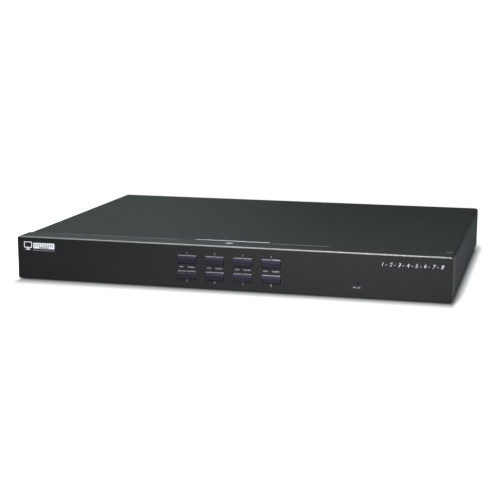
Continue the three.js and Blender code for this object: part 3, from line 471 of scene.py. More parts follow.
def finished_mesh(name, part, sharp=38, flats=False):
    """The part's mesh in metres, with only the finishes it uses and soft shading across shallow edges.

    With flats, faces that look straight along an axis are shaded flat, so large sheets show no streaks."""
    data = part.mesh()
    data.name = name
    data.transform(Matrix.Scale(MM, 4))
    used = sorted({polygon.material_index for polygon in data.polygons})
    for polygon in data.polygons:
        polygon.material_index = used.index(polygon.material_index)
    for index in used:
        data.materials.append(FINISHES[FINISH_ORDER[index]])
    data.shade_smooth()
    data.set_sharp_from_angle(angle=math.radians(sharp))
    if flats:
        for polygon in data.polygons:
            polygon.use_smooth = max(abs(share) for share in polygon.normal) < FACING
    return data


def piece(name, data, node=None, body="case", matrix=None):
    made = bpy.data.objects.new(name, data)
    bpy.context.scene.collection.objects.link(made)
    if matrix:
        made.matrix_world = matrix
    weighted = made.modifiers.new("weighted", "WEIGHTED_NORMAL")
    weighted.keep_sharp = True
    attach(made, body)
    if node:
        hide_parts(node)


def moved(x, y, z):
    return Matrix.Translation(Vector((x, y, z)) * MM)


def at_rear(node, z=None):
    """A rear piece's frame: Y 0 at the rear panel's face, Z 0 at the node's middle or as given."""
    middle = middle_of(node)
    return moved(middle.x, REAR_FACE_Y, middle.z if z is None else z)


# ---- Folded sheet metal: the CAD shape with its cut edges eased ----


def sheet(node, look, edge):
    """A CAD node's own shape with flat faces merged and its sharp edges rounded."""
    part = Part()
    part.bm.from_mesh(frame["nodes"][node].data)
    bmesh.ops.scale(part.bm, vec=(1 / MM, 1 / MM, 1 / MM), verts=part.bm.verts)
    bmesh.ops.remove_doubles(part.bm, verts=part.bm.verts, dist=0.002)
    flat = math.radians(0.5)
    bmesh.ops.dissolve_limit(part.bm, angle_limit=flat, verts=part.bm.verts, edges=part.bm.edges)
    for face in part.bm.faces:
        face.material_index = FINISH_ORDER.index(look)
    if edge:
        part.ease([e for e in part.bm.edges if e.calc_face_angle(0) > FOLD_ANGLE], edge)
    return part


FLANGE_END_Y = FACE_Y + 24
TAB_END_Y = CASE_HIGH.y
TAB_HALF = 39.0
PANEL_CORNER = 3.0
LIP_RADIUS = 0.45
BEND = 1.2


def front_panel():
    """The folded panel with a painted highlight on its upper bend, and the rolled lip, painted light as a
    highlight, where its top flange and tab end.
    """
    part = sheet("front_panel", "front_paint", 0.15)
    # The upper bend's faces get a painted highlight, a finish far lighter than the panel's paint.
    for face in part.bm.faces:
        middle = face.calc_center_median()
        tilted = face.normal.y < -0.1 and face.normal.z > 0.1
        if tilted and middle.y < FACE_Y + BEND and middle.z > CASE_TOP - BEND:
            face.material_index = FINISH_ORDER.index("bend_painted_highlight")
    flat_end = CASE_HIGH.x - PANEL_CORNER
    runs = [  # from X, to X, rear edge, depth below the top, finish (a painted highlight)
        (-flat_end + 32, -TAB_HALF - 16, FLANGE_END_Y, 0.3, "lip_painted_dim_highlight"),
        (-TAB_HALF, TAB_HALF, TAB_END_Y, 0.15, "lip_painted_highlight"),
        (TAB_HALF + 2, flat_end - 118, FLANGE_END_Y, 0.3, "lip_painted_dim_highlight"),
        (flat_end - 6, flat_end + 1, FLANGE_END_Y, 0.2, "lip_painted_dim_highlight"),
    ]
    # Each run lofts a bead along a rear edge and paints it light as a highlight.
    for start, end, y, sink, look in runs:
        centre = (y - LIP_RADIUS, CASE_TOP - sink)
        ends = [(start, 0.1), (start + 1.2, 1), (end - 1.2, 1), (end, 0.1)]
        sections = [(x, circle(LIP_RADIUS * share, centre, 16)) for x, share in ends]
        part.loft(sections, look, "x")
    return part


for node, slot_name, build in (
    ("front_panel", "front_paint", front_panel),
    ("top_cover", "case_paint", lambda: sheet("top_cover", "case_paint", 0.2)),
    ("base_chassis", "case_paint", lambda: sheet("base_chassis", "case_paint", 0.12)),
    ("rear_panel", "case_paint", lambda: sheet("rear_panel", "case_paint", 0.12)),
):
    piece(node + "_sheet", finished_mesh(node, build(), 20, flats=True), node)


# ---- Screws ----

SCREW_HEAD = 2.8
SCREW_SHANK = 1.5
FLANGE_SCREW_HEAD = 3.9
FLANGE_SCREW_SHANK = 2.0
PAN_HEIGHT = 1.9
THREAD_PITCH = 0.5


def cut_cross(part, top, size=1.0, turned=0.0):
    """Cuts a cross recess, whose arms taper towards its floor, into a screw's head."""
    floor, mouth = rectangle(0.75 * size, 0.2 * size), rectangle(1.6 * size, 0.42 * size)
    for turn in (turned, turned + math.pi / 2):
        arm = Part()
        arm.loft([(top - 1.3, floor), (top + 0.5, mouth)], "bright_screw", "z")
        part.cut(Part().absorb(arm, Matrix.Rotation(turn, 4, "Z")))
    return part


def threaded(top, bottom, radius):
    """Profile points of a thread from its top down to its tip."""
    points = []
    turns = int((top - bottom - 0.6) / THREAD_PITCH)
    for i in range(turns):
        value = top - i * THREAD_PITCH
        points += [(radius, value), (radius - 0.22, value - THREAD_PITCH / 2)]
    return [*points, (radius * 0.6, bottom), (0, bottom)]


def flush_screw(look, radius=SCREW_HEAD, shank=SCREW_SHANK, height=1.5, turned=0.0):
    part = Part()
    head = [(0, 0), (radius - 0.12, 0), (radius, -0.14), (shank, -height)]
    part.lathe([*head, *threaded(-height, -6, shank)], look)
    return cut_cross(part, 0, radius / SCREW_HEAD, turned)


def pan_screw(look):
    part = Part()
    angles = [math.radians(10 * i) for i in range(1, 10)]
    dome = [(SCREW_HEAD * math.sin(a), PAN_HEIGHT * (0.35 + 0.65 * math.cos(a))) for a in angles]
    head = [(0, PAN_HEIGHT), *dome, (SCREW_HEAD, 0), (SCREW_SHANK, 0)]
    part.lathe([*head, *threaded(-0.1, -5, SCREW_SHANK)], look)
    return cut_cross(part, PAN_HEIGHT)


def screw_place(node, out, sink):
    """Where a screw's own +Z points out of the case and its head's outer face lies on the CAD screw's."""
    low, high = box_of(node)
    middle = (low + high) / 2
    outer = Vector(max(a * b for a, b in ((low[i], out[i]), (high[i], out[i]))) for i in range(3))
    at = Vector(outer[i] * out[i] if out[i] else middle[i] for i in range(3))
    turn = Vector((0, 0, 1)).rotation_difference(out).to_matrix().to_4x4()
    return Matrix.Translation((at - out * sink) * MM) @ turn


LEFT, RIGHT = Vector((-1, 0, 0)), Vector((1, 0, 0))
FRONT, REAR = Vector((0, -1, 0)), Vector((0, 1, 0))
DOWN, UP = Vector((0, 0, -1)), Vector((0, 0, 1))
FLUSH_SCREWS = {
    "cover_screw_left_front": LEFT,
    "cover_screw_left_rear": LEFT,
    "cover_screw_right_front": RIGHT,
    "cover_screw_right_rear": RIGHT,
    "front_panel_screw_left": DOWN,
    "front_panel_screw_right": DOWN,
}
PAN_SCREWS = {
    "cover_screw_rear_left": REAR,
    "cover_screw_rear_right": REAR,
    "main_board_screw_left": UP,
    "main_board_screw_right": UP,
    "main_board_screw_middle": UP,
    "supply_board_screw_front": UP,
    "supply_board_screw_rear": UP,
    "key_board_screw_left": FRONT,
    "key_board_screw_right": FRONT,
}
flush_data = finished_mesh("flush_screw", flush_screw("side_screw"))
pan_data = finished_mesh("pan_screw", pan_screw("zinc_screw"))
flange_screw = flush_screw("plated_head", FLANGE_SCREW_HEAD, FLANGE_SCREW_SHANK, 2.2, math.radians(35))
flange_data = finished_mesh("flange_screw", flange_screw)
piece(
    "front_flange_screw_head",
    flange_data,
    "front_flange_screw",
    matrix=screw_place("front_flange_screw", UP, 0),
)
for node, out in FLUSH_SCREWS.items():
    piece(node + "_head", flush_data, node, matrix=screw_place(node, out, 0))
for node, out in PAN_SCREWS.items():
    piece(node + "_head", pan_data, node, matrix=screw_place(node, out, PAN_HEIGHT))


# ---- Key caps and their lit switches: a key's own frame has Y 0 at the panel's face ----

KEYS = [f"{number}" for number in range(1, 9)]
CAP_LOW, CAP_HIGH = box_of("key_cap_1")
CAP_OUT = FACE_Y - CAP_LOW.y  # how far a cap stands out of the face
CAP_HALF_X = (CAP_HIGH.x - CAP_LOW.x) / 2 - 1
CAP_HALF_Z = (CAP_HIGH.z - CAP_LOW.z) / 2 - 1
LIP_Y = (1.3, 2.3)
SPLIT_HALF = 0.22
CAP_BEVEL = 0.55
CAP_ROUNDING = 1.6
CAP_CROWN = 0.3
CAP_WALL = 1.4
SWITCH_HALF = (7, 3.5)
LAMP_X = 5.0  # a key's two lamps stand this far from its middle
SWITCH_PIN = (6.2, 2.6)  # and a switch's pins this far, across and up


def cap_side(inset):
    """A cap's side view, (y, z) from its back round its crowned front, shrunk by an inset."""
    half, front, back = CAP_HALF_Z - inset, inset - CAP_OUT, LIP_Y[1]
    radius = CAP_ROUNDING - inset
    upper = [(back, half)]
    for step in range(7):
        turn = math.radians(15 * step)
        y = front + CAP_CROWN + radius * (1 - math.sin(turn))
        upper.append((y, half - radius * (1 - math.cos(turn))))
    crown_half = half - radius
    heights = [crown_half * (1 - step / 3) for step in range(1, 6)]
    crown = [(front + CAP_CROWN * (z / crown_half) ** 2, z) for z in heights]
    lower = [(y, -z) for y, z in reversed(upper)]
    return upper + crown + lower


def cap_window(side):
    """One of a cap's two smoked halves, hollow behind."""
    outer, inner = side * CAP_HALF_X, side * SPLIT_HALF
    stations = [(outer, CAP_BEVEL), (outer - side * 0.16, CAP_BEVEL * 0.45), (outer - side * CAP_BEVEL, 0)]
    stations += [(inner + side * 0.12, 0), (inner, 0.1)]
    part = Part()
    part.loft([(x, cap_side(inset)) for x, inset in stations], "smoked_lens", "x")
    hollow = Part()
    centre = (side * (CAP_HALF_X + SPLIT_HALF) / 2, 0)
    width = (CAP_HALF_X - SPLIT_HALF) / 2 - 1
    hollow.prism(rectangle(width, CAP_HALF_Z - CAP_WALL, 0.4, centre), (0.6, LIP_Y[1] + 1), "lens_back")
    return part.cut(hollow)


def key_cap():
    part = Part()
    for side in (-1, 1):
        part.absorb(cap_window(side))
    # Upward-facing front faces get painted light: a painted highlight where they face well up, a painted
    # sheen where they tilt only slightly.
    for face in part.bm.faces:
        if face.normal.z > 0.08 and face.calc_center_median().y < 0:
            look = "lens_painted_highlight" if face.normal.z > 0.45 else "lens_painted_sheen"
            face.material_index = FINISH_ORDER.index(look)
    rib_half, rib_height = SPLIT_HALF + 0.1, CAP_HALF_Z - 0.4
    part.box((-rib_half, rib_half), (-0.9, LIP_Y[1]), (-rib_height, rib_height), "lens_back", 0)
    rim = Part()
    rim.prism(rectangle(CAP_HALF_X + 1, CAP_HALF_Z + 1, 0.5), LIP_Y, "lens_back", bevel=0.1)
    hole = Part()
    for side in (-1, 1):
        hole.prism(rectangle(3.4, CAP_HALF_Z - CAP_WALL, 0.4, (side * LAMP_X, 0)), (0, 4), "lens_back")
    part.absorb(rim.cut(hole))
    stem_end = CAP_HIGH.y - FACE_Y
    part.rod(1.5, (1.5, stem_end), (0, 0), "lens_back", bevel=0.2)
    return part


def key_switch():
    low, high = box_of("key_switch_1")
    front, back = low.y + 2 - FACE_Y, high.y - FACE_Y
    part = Part()
    shell = Part()
    half_x, half_z = SWITCH_HALF
    shell.box((-half_x, half_x), (front, back), (-half_z, half_z), "satin_plastic", 0.35)
    well = Part()
    well.rod(1.9, (front - 1, back - 0.6), (0, 0), "lens_back")
    part.absorb(shell.cut(well))
    angles = [math.radians(15 * i) for i in range(1, 7)]
    dome = [(1.5 * math.sin(a), front - 0.6 - 1.4 * math.cos(a)) for a in angles]
    bulb = [(0, front - 2), *dome, (1.5, front + 0.3), (0, front + 0.3)]
    for side in (-1, 1):
        part.lathe(bulb, "lamp_milky", "y", (side * LAMP_X, 0), 20)
        for z in (-SWITCH_PIN[1], SWITCH_PIN[1]):
            part.rod(0.25, (back - 0.2, back + 2), (side * SWITCH_PIN[0], z), "solder", sides=10)
    part.sleeve(circle(2.3), circle(1.8), (front + 0.2, front - 0.4), "satin_plastic", lip=-0.1)
    return part


cap_data = finished_mesh("key_cap", key_cap())
switch_data = finished_mesh("key_switch", key_switch())
for number in KEYS:
    middle = middle_of("key_cap_" + number)
    at = moved(middle.x, FACE_Y, middle.z)
    piece(f"key_cap_{number}_lens", cap_data, "key_cap_" + number, "key_" + number, at)
    piece(f"key_switch_{number}_body", switch_data, "key_switch_" + number, matrix=at)


# ---- Power lamp ----


def power_lamp():
    low, high = box_of("power_lamp")
    middle = (low + high) / 2
    tip, foot = low.y, high.y
    angles = [math.radians(12 * i) for i in range(1, 8)]
    dome = [(1.5 * math.sin(a), tip + 1.2 * (1 - math.cos(a))) for a in angles]
    profile = [(0, tip), *dome, (1.5, foot - 3.3), (1.9, foot - 3.2), (1.9, foot), (0, foot)]
    part = Part()
    # The lens is near black: painted shade for the hole it sits in.
    part.lathe(profile, "lamp_lens_painted_shade", "y", (middle.x, middle.z), 28)
    for side in (-0.6, 0.6):
        part.rod(0.2, (foot - 0.2, foot + 2), (middle.x + side, middle.z), "solder", sides=8)
    return part


piece("power_lamp_lens", finished_mesh("power_lamp", power_lamp()), "power_lamp")


# ---- Video-type connectors: own frame has Y 0 at the rear panel's outer face, Z 0 at the middle ----

VGA_OUT = box_of("pc_port_1")[1].y - REAR_FACE_Y
VGA_HALF = (8.2, 4.0)
VGA_SLANT = math.tan(math.radians(10))
JACK_X = 12.5
FLANGE_HALF = (15.4, 6.25)
PIN_PITCH = 2.29
ROW_PITCH = 1.95
PIN_RADIUS = 0.42


def d_outline(grow):
    half_width, half_height = (value + grow for value in VGA_HALF)
    narrow = half_width - 2 * half_height * VGA_SLANT
    corners = [
        (-narrow, -half_height),
        (narrow, -half_height),
        (half_width, half_height),
        (-half_width, half_height),
    ]
    return rounded(corners, 2.2 + grow, 5)


def jack_screw(x):
    """A hexagonal standoff with a chamfered end and a threaded bore."""
    end = VGA_OUT - 0.4
    sections = [(0.1, 2.7), (end - 0.35, 2.7), (end, 2.35)]
    part = Part()
    part.loft([(y, circle(radius, (x, 0), 6)) for y, radius in sections], "nickel", bevel=0.08)
    bore = Part()
    ridges = [(1.4 if i % 2 else 1.18, end + 0.1 - 0.25 * i) for i in range(14)]
    bore.lathe([(0, end + 1), (1.6, end + 1), *ridges, (0, ridges[-1][1])], "nickel", "y", (x, 0), 20)
    return part.cut(bore)


def video_connector():
    part = Part()
    insulator = Part()
    insulator.prism(d_outline(-0.5), (-1.5, VGA_OUT - 0.5), "port_blue", bevel=0.1)
    holes = Part()
    hole = [(VGA_OUT - 3, PIN_RADIUS), (VGA_OUT - 0.8, PIN_RADIUS), (VGA_OUT, 0.85)]
    for row, z in enumerate((ROW_PITCH, 0, -ROW_PITCH)):
        shift = -0.55 if row == 1 else 0.55
        for column in range(5):
            x = (column - 2) * PIN_PITCH + shift
            holes.loft([(y, circle(radius, (x, z), 14)) for y, radius in hole], "port_blue")
    part.absorb(insulator.cut(holes))
    part.sleeve(d_outline(0), d_outline(-0.45), (-1.2, VGA_OUT), "nickel", lip=0.2)
    part.prism(rectangle(*FLANGE_HALF, 1.2), (-SHEET - 0.9, -SHEET - 0.1), "nickel", bevel=0.1)
    part.box((-14.5, 14.5), (-12, -SHEET - 0.9), (-6.25, 5.25), "port_blue", 0.3)
    for side in (-1, 1):
        part.absorb(jack_screw(side * JACK_X))
    return part


connector_data = finished_mesh("video_connector", video_connector())
for node in [f"pc_port_{number}" for number in KEYS] + ["console_video_port"]:
    piece(node + "_connector", connector_data, node, matrix=at_rear(node))


# ---- Console keyboard and mouse sockets ----

SOCKETS = ((7.1, "port_violet"), (20.1, "port_green"))  # each one's height above the board, and finish
CONTACT_RING = 2.35


def round_socket(z, look):
    """A face with a ring-shaped gap, six contact holes and a square key hole around the middle."""
    part = Part()
    part.box((-6.4, 6.4), (-10, 0.8), (z - 6.2, z + 6.2), look, 0.2)
    tool = Part()
    tool.sleeve(circle(4.7, (0, z)), circle(3.6, (0, z)), (-7, 2), look, lip=0.2)
    for degrees in range(30, 360, 60):
        turn = math.radians(degrees)
        contact = (CONTACT_RING * math.cos(turn), z + CONTACT_RING * math.sin(turn))
        tool.rod(0.42, (-5, 2), contact, "lens_back", sides=12)
    tool.box((-0.6, 0.6), (-5, 2), (z - 0.8, z + 0.5), "lens_back", 0)
    part.cut(tool)
    part.sleeve(circle(4.62, (0, z)), circle(4.35, (0, z)), (-6.5, 0.3), "nickel", lip=0.08)
    return part


def keyboard_mouse_port():
    height = box_of("console_keyboard_mouse_port")[1].z - BOARD_TOP
    part = Part()
    frame_shell = Part()
    frame_shell.box((-7, 7), (-17, 0.55), (0.1, height), "nickel", 0.3)
    window = Part()
    window.box((-6.5, 6.5), (-3, 2), (0.7, height - 0.6), "nickel", 0)
    part.absorb(frame_shell.cut(window))
    for z, look in SOCKETS:
        part.absorb(round_socket(z, look))
    return part


piece(
    "console_keyboard_mouse_sockets",
    finished_mesh("keyboard_mouse_port", keyboard_mouse_port()),
    "console_keyboard_mouse_port",
    matrix=at_rear("console_keyboard_mouse_port", BOARD_TOP),
)


# ---- Console USB sockets ----

USB_HEIGHTS = (4.3, 11.7)  # above the board


def usb_port():
    half, height = 6.6, box_of("console_usb_port")[1].z - BOARD_TOP
    shell = Part()
    shell.box((-half, half), (-17, 0.8), (0.1, height), "nickel", 0.25)
    slots = Part()
    for z in USB_HEIGHTS:
        slots.prism(rectangle(6.1, 2.5, 0.3, (0, z)), (-11.2, 2), "nickel")
    part = Part().absorb(shell.cut(slots))
    for z in USB_HEIGHTS:
        part.box((-5.2, 5.2), (-12, -0.6), (z, z + 1.8), "white_plastic", 0.2)
        for x in (-3.5, -1.1, 1.1, 3.5):
            part.box((x - 0.45, x + 0.45), (-9, -1.4), (z - 0.12, z + 0.1), "gold_contact", 0.04)
        for x in (-3, 3):
            part.box((x - 1, x + 1), (-6, -1), (z - 2.5, z - 2.2), "nickel", 0.1)
    return part


piece(
    "console_usb_sockets",
    finished_mesh("usb_port", usb_port()),
    "console_usb_port",
    matrix=at_rear("console_usb_port", BOARD_TOP),
)


# ---- Mains inlet ----

INLET_RIM = 2.6


def moulded_rim(half_x, half_z, corner, stations, look):
    """A rim whose outline shrinks by the inset given at each Y station."""
    outlines = [(y, rectangle(half_x - inset, half_z - inset, corner - inset / 2)) for y, inset in stations]
    return Part().loft(outlines, look)


def mains_inlet():
    part = Part()
    rim = [(0.1, 0), (INLET_RIM - 0.5, 0), (INLET_RIM - 0.12, 0.2), (INLET_RIM, 0.6)]
    body = moulded_rim(15.5, 12.2, 2, rim, "black_plastic")
    back = Part()
    back.box((-13.7, 13.7), (-18, 0.6), (-10, 10), "black_plastic", 0.4)
    mouth_corners = [(-12, -8.3), (12, -8.3), (12, 2.8), (6.5, 8.3), (-6.5, 8.3), (-12, 2.8)]
    straight = rounded(mouth_corners, 0.8)
    flared = rounded([(x * 1.08, z * 1.1) for x, z in mouth_corners], 0.9)
    sections = [(INLET_RIM - 15.5, straight), (INLET_RIM - 0.6, straight), (INLET_RIM + 0.4, flared)]
    mouth = Part().loft(sections, "black_plastic")
    for half in (body, back):
        part.absorb(half.cut(mouth))
    for x, z in ((-7, -1.5), (7, -1.5), (0, 2.5)):
        part.box((x - 1, x + 1), (-14, -0.5), (z - 2, z + 2), "nickel", 0.35)
        part.box((x - 0.4, x + 0.4), (-25, -17.5), (z - 2.4, z + 2.4), "nickel", 0.1)
    return part


inlet_data = finished_mesh("mains_inlet", mains_inlet())
piece("mains_inlet_body", inlet_data, "mains_inlet", matrix=at_rear("mains_inlet"))


# ---- Power rocker and its housing ----

HOUSING_RIM = 2.1
PIVOT_DEPTH = 5.0


def switch_housing():
    part = Part()
    rim = [(0.1, 0), (HOUSING_RIM - 0.4, 0), (HOUSING_RIM - 0.1, 0.15), (HOUSING_RIM, 0.5)]
    frame_rim = moulded_rim(7.5, 10.5, 1.5, rim, "satin_plastic")
    back = Part()
    back.box((-6.4, 6.4), (-14, 0.6), (-9.2, 9.2), "satin_plastic", 0.3)
    for half in (frame_rim, back):
        well = Part()
        well.prism(rectangle(5.2, 8.2, 0.3), (-10, 4), "satin_plastic")
        well.rod(1.35, (-8, 8), (HOUSING_RIM - PIVOT_DEPTH, 0), "satin_plastic", "x", 20)
        part.absorb(half.cut(well))
    for x in (-3, 3):
        part.box((x - 0.4, x + 0.4), (-21, -13.8), (-2.4, 2.4), "nickel", 0.1)
    return part


def rocker():
    """In the pivot's own frame: the paddle's side view is a shallow V, carrying a bar and a ring mark."""
    part = Part()
    side = [(4.0, 0), (5.0, 5), (5.4, 7), (4.6, 7.3), (1.0, 7.4), (-2.5, 3), (-2.5, -3), (1.0, -7.4)]
    side += [(4.6, -7.3), (5.4, -7), (5.0, -5)]
    part.prism(side, (-4.8, 4.8), "satin_plastic", "x", bevel=0.18)
    part.rod(1.0, (-6, 6), (0, 0), "nickel", "x", 20)
    slope = math.atan2(1.0, 5)
    bar = Part().box((-0.3, 0.3), (-0.02, 0.04), (-1.3, 1.3), "ink_white", 0)
    ring = Part().sleeve(circle(1.4), circle(0.95), (-0.02, 0.04), "ink_white", lip=0.01)
    for mark, side in ((bar, 1), (ring, -1)):  # the bar on the upper half, the ring on the lower
        part.absorb(mark, Matrix.Translation((0, 4.62, 3.1 * side)) @ Matrix.Rotation(-slope * side, 4, "X"))
    return part


piece(
    "power_switch_bezel",
    finished_mesh("power_switch_housing", switch_housing()),
    "power_switch_housing",
    matrix=at_rear("power_switch_housing"),
)
middle = middle_of("power_switch_housing")
pivot = moved(middle.x, REAR_FACE_Y + HOUSING_RIM - PIVOT_DEPTH, middle.z)
rest_tilt = Matrix.Rotation(math.radians(-10), 4, "X")
rocker_data = finished_mesh("power_rocker", rocker())
piece("power_rocker_paddle", rocker_data, "power_rocker", "rocker", pivot @ rest_tilt)


# ---- Circuit boards and the small parts soldered to them ----


def chip(part, x, y, width, depth, height, pins):
    """A chip with gull-wing legs on its two long sides."""
    part.block(x, y, width / 2, depth / 2, (BOARD_TOP + 0.2, BOARD_TOP + height), "chip_epoxy")
    pitch = width / pins
    leg_z = (BOARD_TOP, BOARD_TOP + 0.35)
    for i in range(pins):
        leg = x - width / 2 + pitch * (i + 0.5)
        for side in (-1, 1):
            leg_y = sorted((y + side * depth / 2, y + side * (depth / 2 + 0.9)))
            part.box((leg - pitch * 0.2, leg + pitch * 0.2), leg_y, leg_z, "solder", 0)


def passive(part, x, y, turned_round, look):
    """A small ceramic part with two tinned ends."""
    half_x, half_y = (0.5, 1) if turned_round else (1, 0.5)
    part.block(x, y, half_x, half_y, (BOARD_TOP, BOARD_TOP + 0.6), look, 0.06)
    for side in (-1, 1):
        end_x, end_y = (0, side * half_y) if turned_round else (side * half_x, 0)
        part.block(x + end_x, y + end_y, 0.3, 0.3, (BOARD_TOP, BOARD_TOP + 0.65), "solder", 0)


def small_can(part, x, y, radius, height):
    top = BOARD_TOP + height
    sleeve = [(0, BOARD_TOP), (radius, BOARD_TOP), (radius, top - 0.5)]
    rim = [(radius - 0.3, top - 0.1), (radius - 0.6, top), (radius * 0.8, top - 0.15), (0, top - 0.15)]
    part.lathe(sleeve + rim, "can_sleeve", "z", (x, y), 24)


def main_board():
    part = sheet("main_board", "board_mask", 0.0)
    for number in KEYS:
        x = middle_of("pc_port_" + number).x
        chip(part, x, 118, 10, 6.5, 1.9, 8)
        chip(part, x, 100, 7.5, 4.4, 1.7, 6)
        for i in range(4):
            passive(part, x - 9 + 6 * i, 128, i % 2 == 0, "ceramic_tan")
            passive(part, x - 9 + 6 * i, 90, i % 2 == 1, "chip_epoxy")
        small_can(part, x + 11, 108, 2.6, 6)
    for i in range(5):
        chip(part, -100 + 30 * i, 24, 13, 7.5, 2.1, 10)
        for j in range(3):
            passive(part, -108 + 30 * i + 5 * j, 12, j == 1, "ceramic_tan")
    for x, y in ((-120, 60), (-105, 60), (150, 10), (165, 10), (180, 10)):
        small_can(part, x, y, 4, 9)
    part.box((118, 129), (54, 59), (BOARD_TOP, BOARD_TOP + 3.5), "nickel", 0.5)
    return part


def supply_board():
    part = sheet("supply_board", "board_mask", 0.0)
    part.box((-209, -206), (40, 84), (BOARD_TOP, BOARD_TOP + 18), "can_top", 0.2)
    for i in range(5):
        part.box((-206.2, -202), (42 + 9 * i, 43 + 9 * i), (BOARD_TOP, BOARD_TOP + 17), "can_top", 0.1)
    chip(part, -165, 60, 9, 6, 3, 4)
    chip(part, -160, 5, 10, 6.5, 1.9, 4)
    for i in range(3):
        small_can(part, -163, 20 + 12 * i, 4, 10)
    part.box((-170, -160), (82, 96), (BOARD_TOP, BOARD_TOP + 9), "winding_tape", 0.4)
    for i in range(6):
        passive(part, -205 + 7 * i, -6, i % 2 == 0, "ceramic_tan")
    return part


def key_board():
    """The upright board: its small parts are on the side that faces the case's inside."""
    part = sheet("key_board", "board_mask", 0.0)
    back = box_of("key_board")[1].y
    joint = [(0, back + 0.9), (0.35, back + 0.7), (0.8, back), (0, back)]
    pin_x, pin_z = SWITCH_PIN
    for number in KEYS:
        middle = middle_of("key_cap_" + number)
        for side in (-1, 1):
            part.lathe(joint, "solder", "y", (middle.x + pin_x * side, middle.z - pin_z), 10)
    for i in range(6):
        x = 84 + 8 * i
        part.box((x - 2.5, x + 2.5), (back, back + 1.6), (18, 22), "chip_epoxy", 0.12)
        for side in (-1, 1):
            z = 20 + side * 2.6
            part.box((x - 2.2, x + 2.2), (back, back + 0.3), (z - 0.5, z + 0.5), "solder", 0)
    return part


for node, build in (("main_board", main_board), ("supply_board", supply_board), ("key_board", key_board)):
    piece(node + "_assembly", finished_mesh(node, build()), node)


# ---- The larger parts on the boards ----


def transformer():
    low, high = box_of("mains_transformer")
    middle = (low + high) / 2
    foot = low.z
    part = Part()
    for i in range(11):
        y = middle.y - 11 + 2 * i
        part.box((middle.x - 14, middle.x + 14), (y, y + 1.9), (foot + 0.4, foot + 22), "ferrite", 0.15)
    winding = rectangle(10, 9, 4, (middle.x, foot + 11), 8)
    part.prism(winding, (low.y + 0.3, high.y - 0.3), "winding_tape", bevel=0.4)
    for y in (low.y, high.y - 0.8):
        cheek = rectangle(11, 9.8, 3, (middle.x, foot + 11), 6)
        part.prism(cheek, (y, y + 0.8), "black_plastic", bevel=0.15)
    for i in range(4):
        for y in (low.y + 1, high.y - 1):
            part.rod(0.4, (foot - 0.1, foot + 3), (middle.x - 7.5 + 5 * i, y), "solder", "z", 10)
    return part


def bulk_capacitor():
    low, high = box_of("bulk_capacitor")
    middle = (low + high) / 2
    centre = (middle.x, middle.y)
    foot, top = low.z, high.z
    can = [(0, foot), (7.9, foot), (8, foot + 0.4), (8, foot + 2.8), (7.5, foot + 3.6), (8, foot + 4.4)]
    can += [(8, top - 1), (7.8, top - 0.3), (7.2, top), (6.6, top - 0.1), (6.5, top - 0.4), (0, top - 0.4)]
    vent = [(0, top - 0.5), (6.4, top - 0.5), (6.4, top - 0.3), (0, top - 0.25)]
    part = Part().lathe(can, "can_sleeve", "z", centre, 48)
    part.lathe(vent, "can_top", "z", centre, 40)
    for turn in range(3):
        bar = Part().box((-5, 5), (-0.18, 0.18), (top - 0.3, top - 0.16), "ferrite", 0.03)
        at = Matrix.Translation((*centre, 0)) @ Matrix.Rotation(math.radians(60 * turn), 4, "Z")
        part.absorb(bar, at)
    stripe = Part().box((7.95, 8.04), (-1.6, 1.6), (foot + 5, top - 1.5), "ink_grey", 0)
    part.absorb(stripe, Matrix.Translation((*centre, 0)) @ Matrix.Rotation(math.radians(-70), 4, "Z"))
    return part


def switching_chip():
    low, high = box_of("switching_chip")
    middle = (low + high) / 2
    part = Part()
    part.box((-10.6, 10.6), (-10.6, 10.6), (low.z + 0.2, high.z), "chip_epoxy", 0.2)
    part.rod(0.8, (high.z - 0.02, high.z + 0.02), (-8.4, 8.4), "ferrite", "z", 20)
    pins = Part()
    leg = [(10.5, 0.9), (11.1, 0.85), (11.5, 0.15), (12, 0.12)]
    leg += [(12, -0.02), (11.4, 0), (10.9, 0.72), (10.5, 0.75)]
    outline = [(y, low.z + z) for y, z in leg]
    for i in range(18):
        x = (i - 8.5) * 1.1
        pins.prism(outline, (x - 0.2, x + 0.2), "solder", "x")
    for turn in range(4):
        part.absorb(pins, Matrix.Rotation(math.radians(90 * turn), 4, "Z"))
    return Part().absorb(part, Matrix.Translation((middle.x, middle.y, 0)))


for node, build, slot_name in (
    ("mains_transformer", transformer, "winding_tape"),
    ("bulk_capacitor", bulk_capacitor, "black_plastic"),
    ("switching_chip", switching_chip, "black_plastic"),
):
    piece(node + "_part", finished_mesh(node, build()), node)


# ---- Cables ----

RIBBON_WAYS = 16
WAY_PITCH = 1.25


def ribbon_section(first, last):
    """Ridges of the flat cable from one conductor to another, drawn in (across, up)."""
    top = []
    for way in range(first, last):
        middle = (way - (RIBBON_WAYS - 1) / 2) * WAY_PITCH
        for degrees in (160, 125, 90, 55, 20):
            turn = math.radians(degrees)
            top.append((middle + 0.62 * math.cos(turn), 0.5 * math.sin(turn)))
    return top + [(x, -y) for x, y in reversed(top)]


def ribbon_cable():
    low, high = box_of("ribbon_cable")
    middle_x = (low.x + high.x) / 2
    start = low.y
    route = [(start + 5, 24), (start + 12, 20), (start + 20, 6), (start + 30, 3.2)]
    route += [(-50, 3.2), (-36, 8), (-26, 15), (high.y - 5, 14.5)]
    path = smooth_path([(middle_x, y, z) for y, z in route])
    part = Part()
    part.sweep(ribbon_section(1, RIBBON_WAYS), path, "ribbon_grey")
    part.sweep(ribbon_section(0, 1), path, "ribbon_red")
    for y, z in (((low.y, low.y + 6), (20, 28)), ((high.y - 8, high.y), (BOARD_TOP + 0.1, 16))):
        part.box((low.x, high.x), y, z, "chip_epoxy", 0.35)
    part.box((middle_x - 3, middle_x + 3), (low.y - 0.02, low.y + 5.8), (27.9, 28.5), "chip_epoxy", 0.15)
    return part


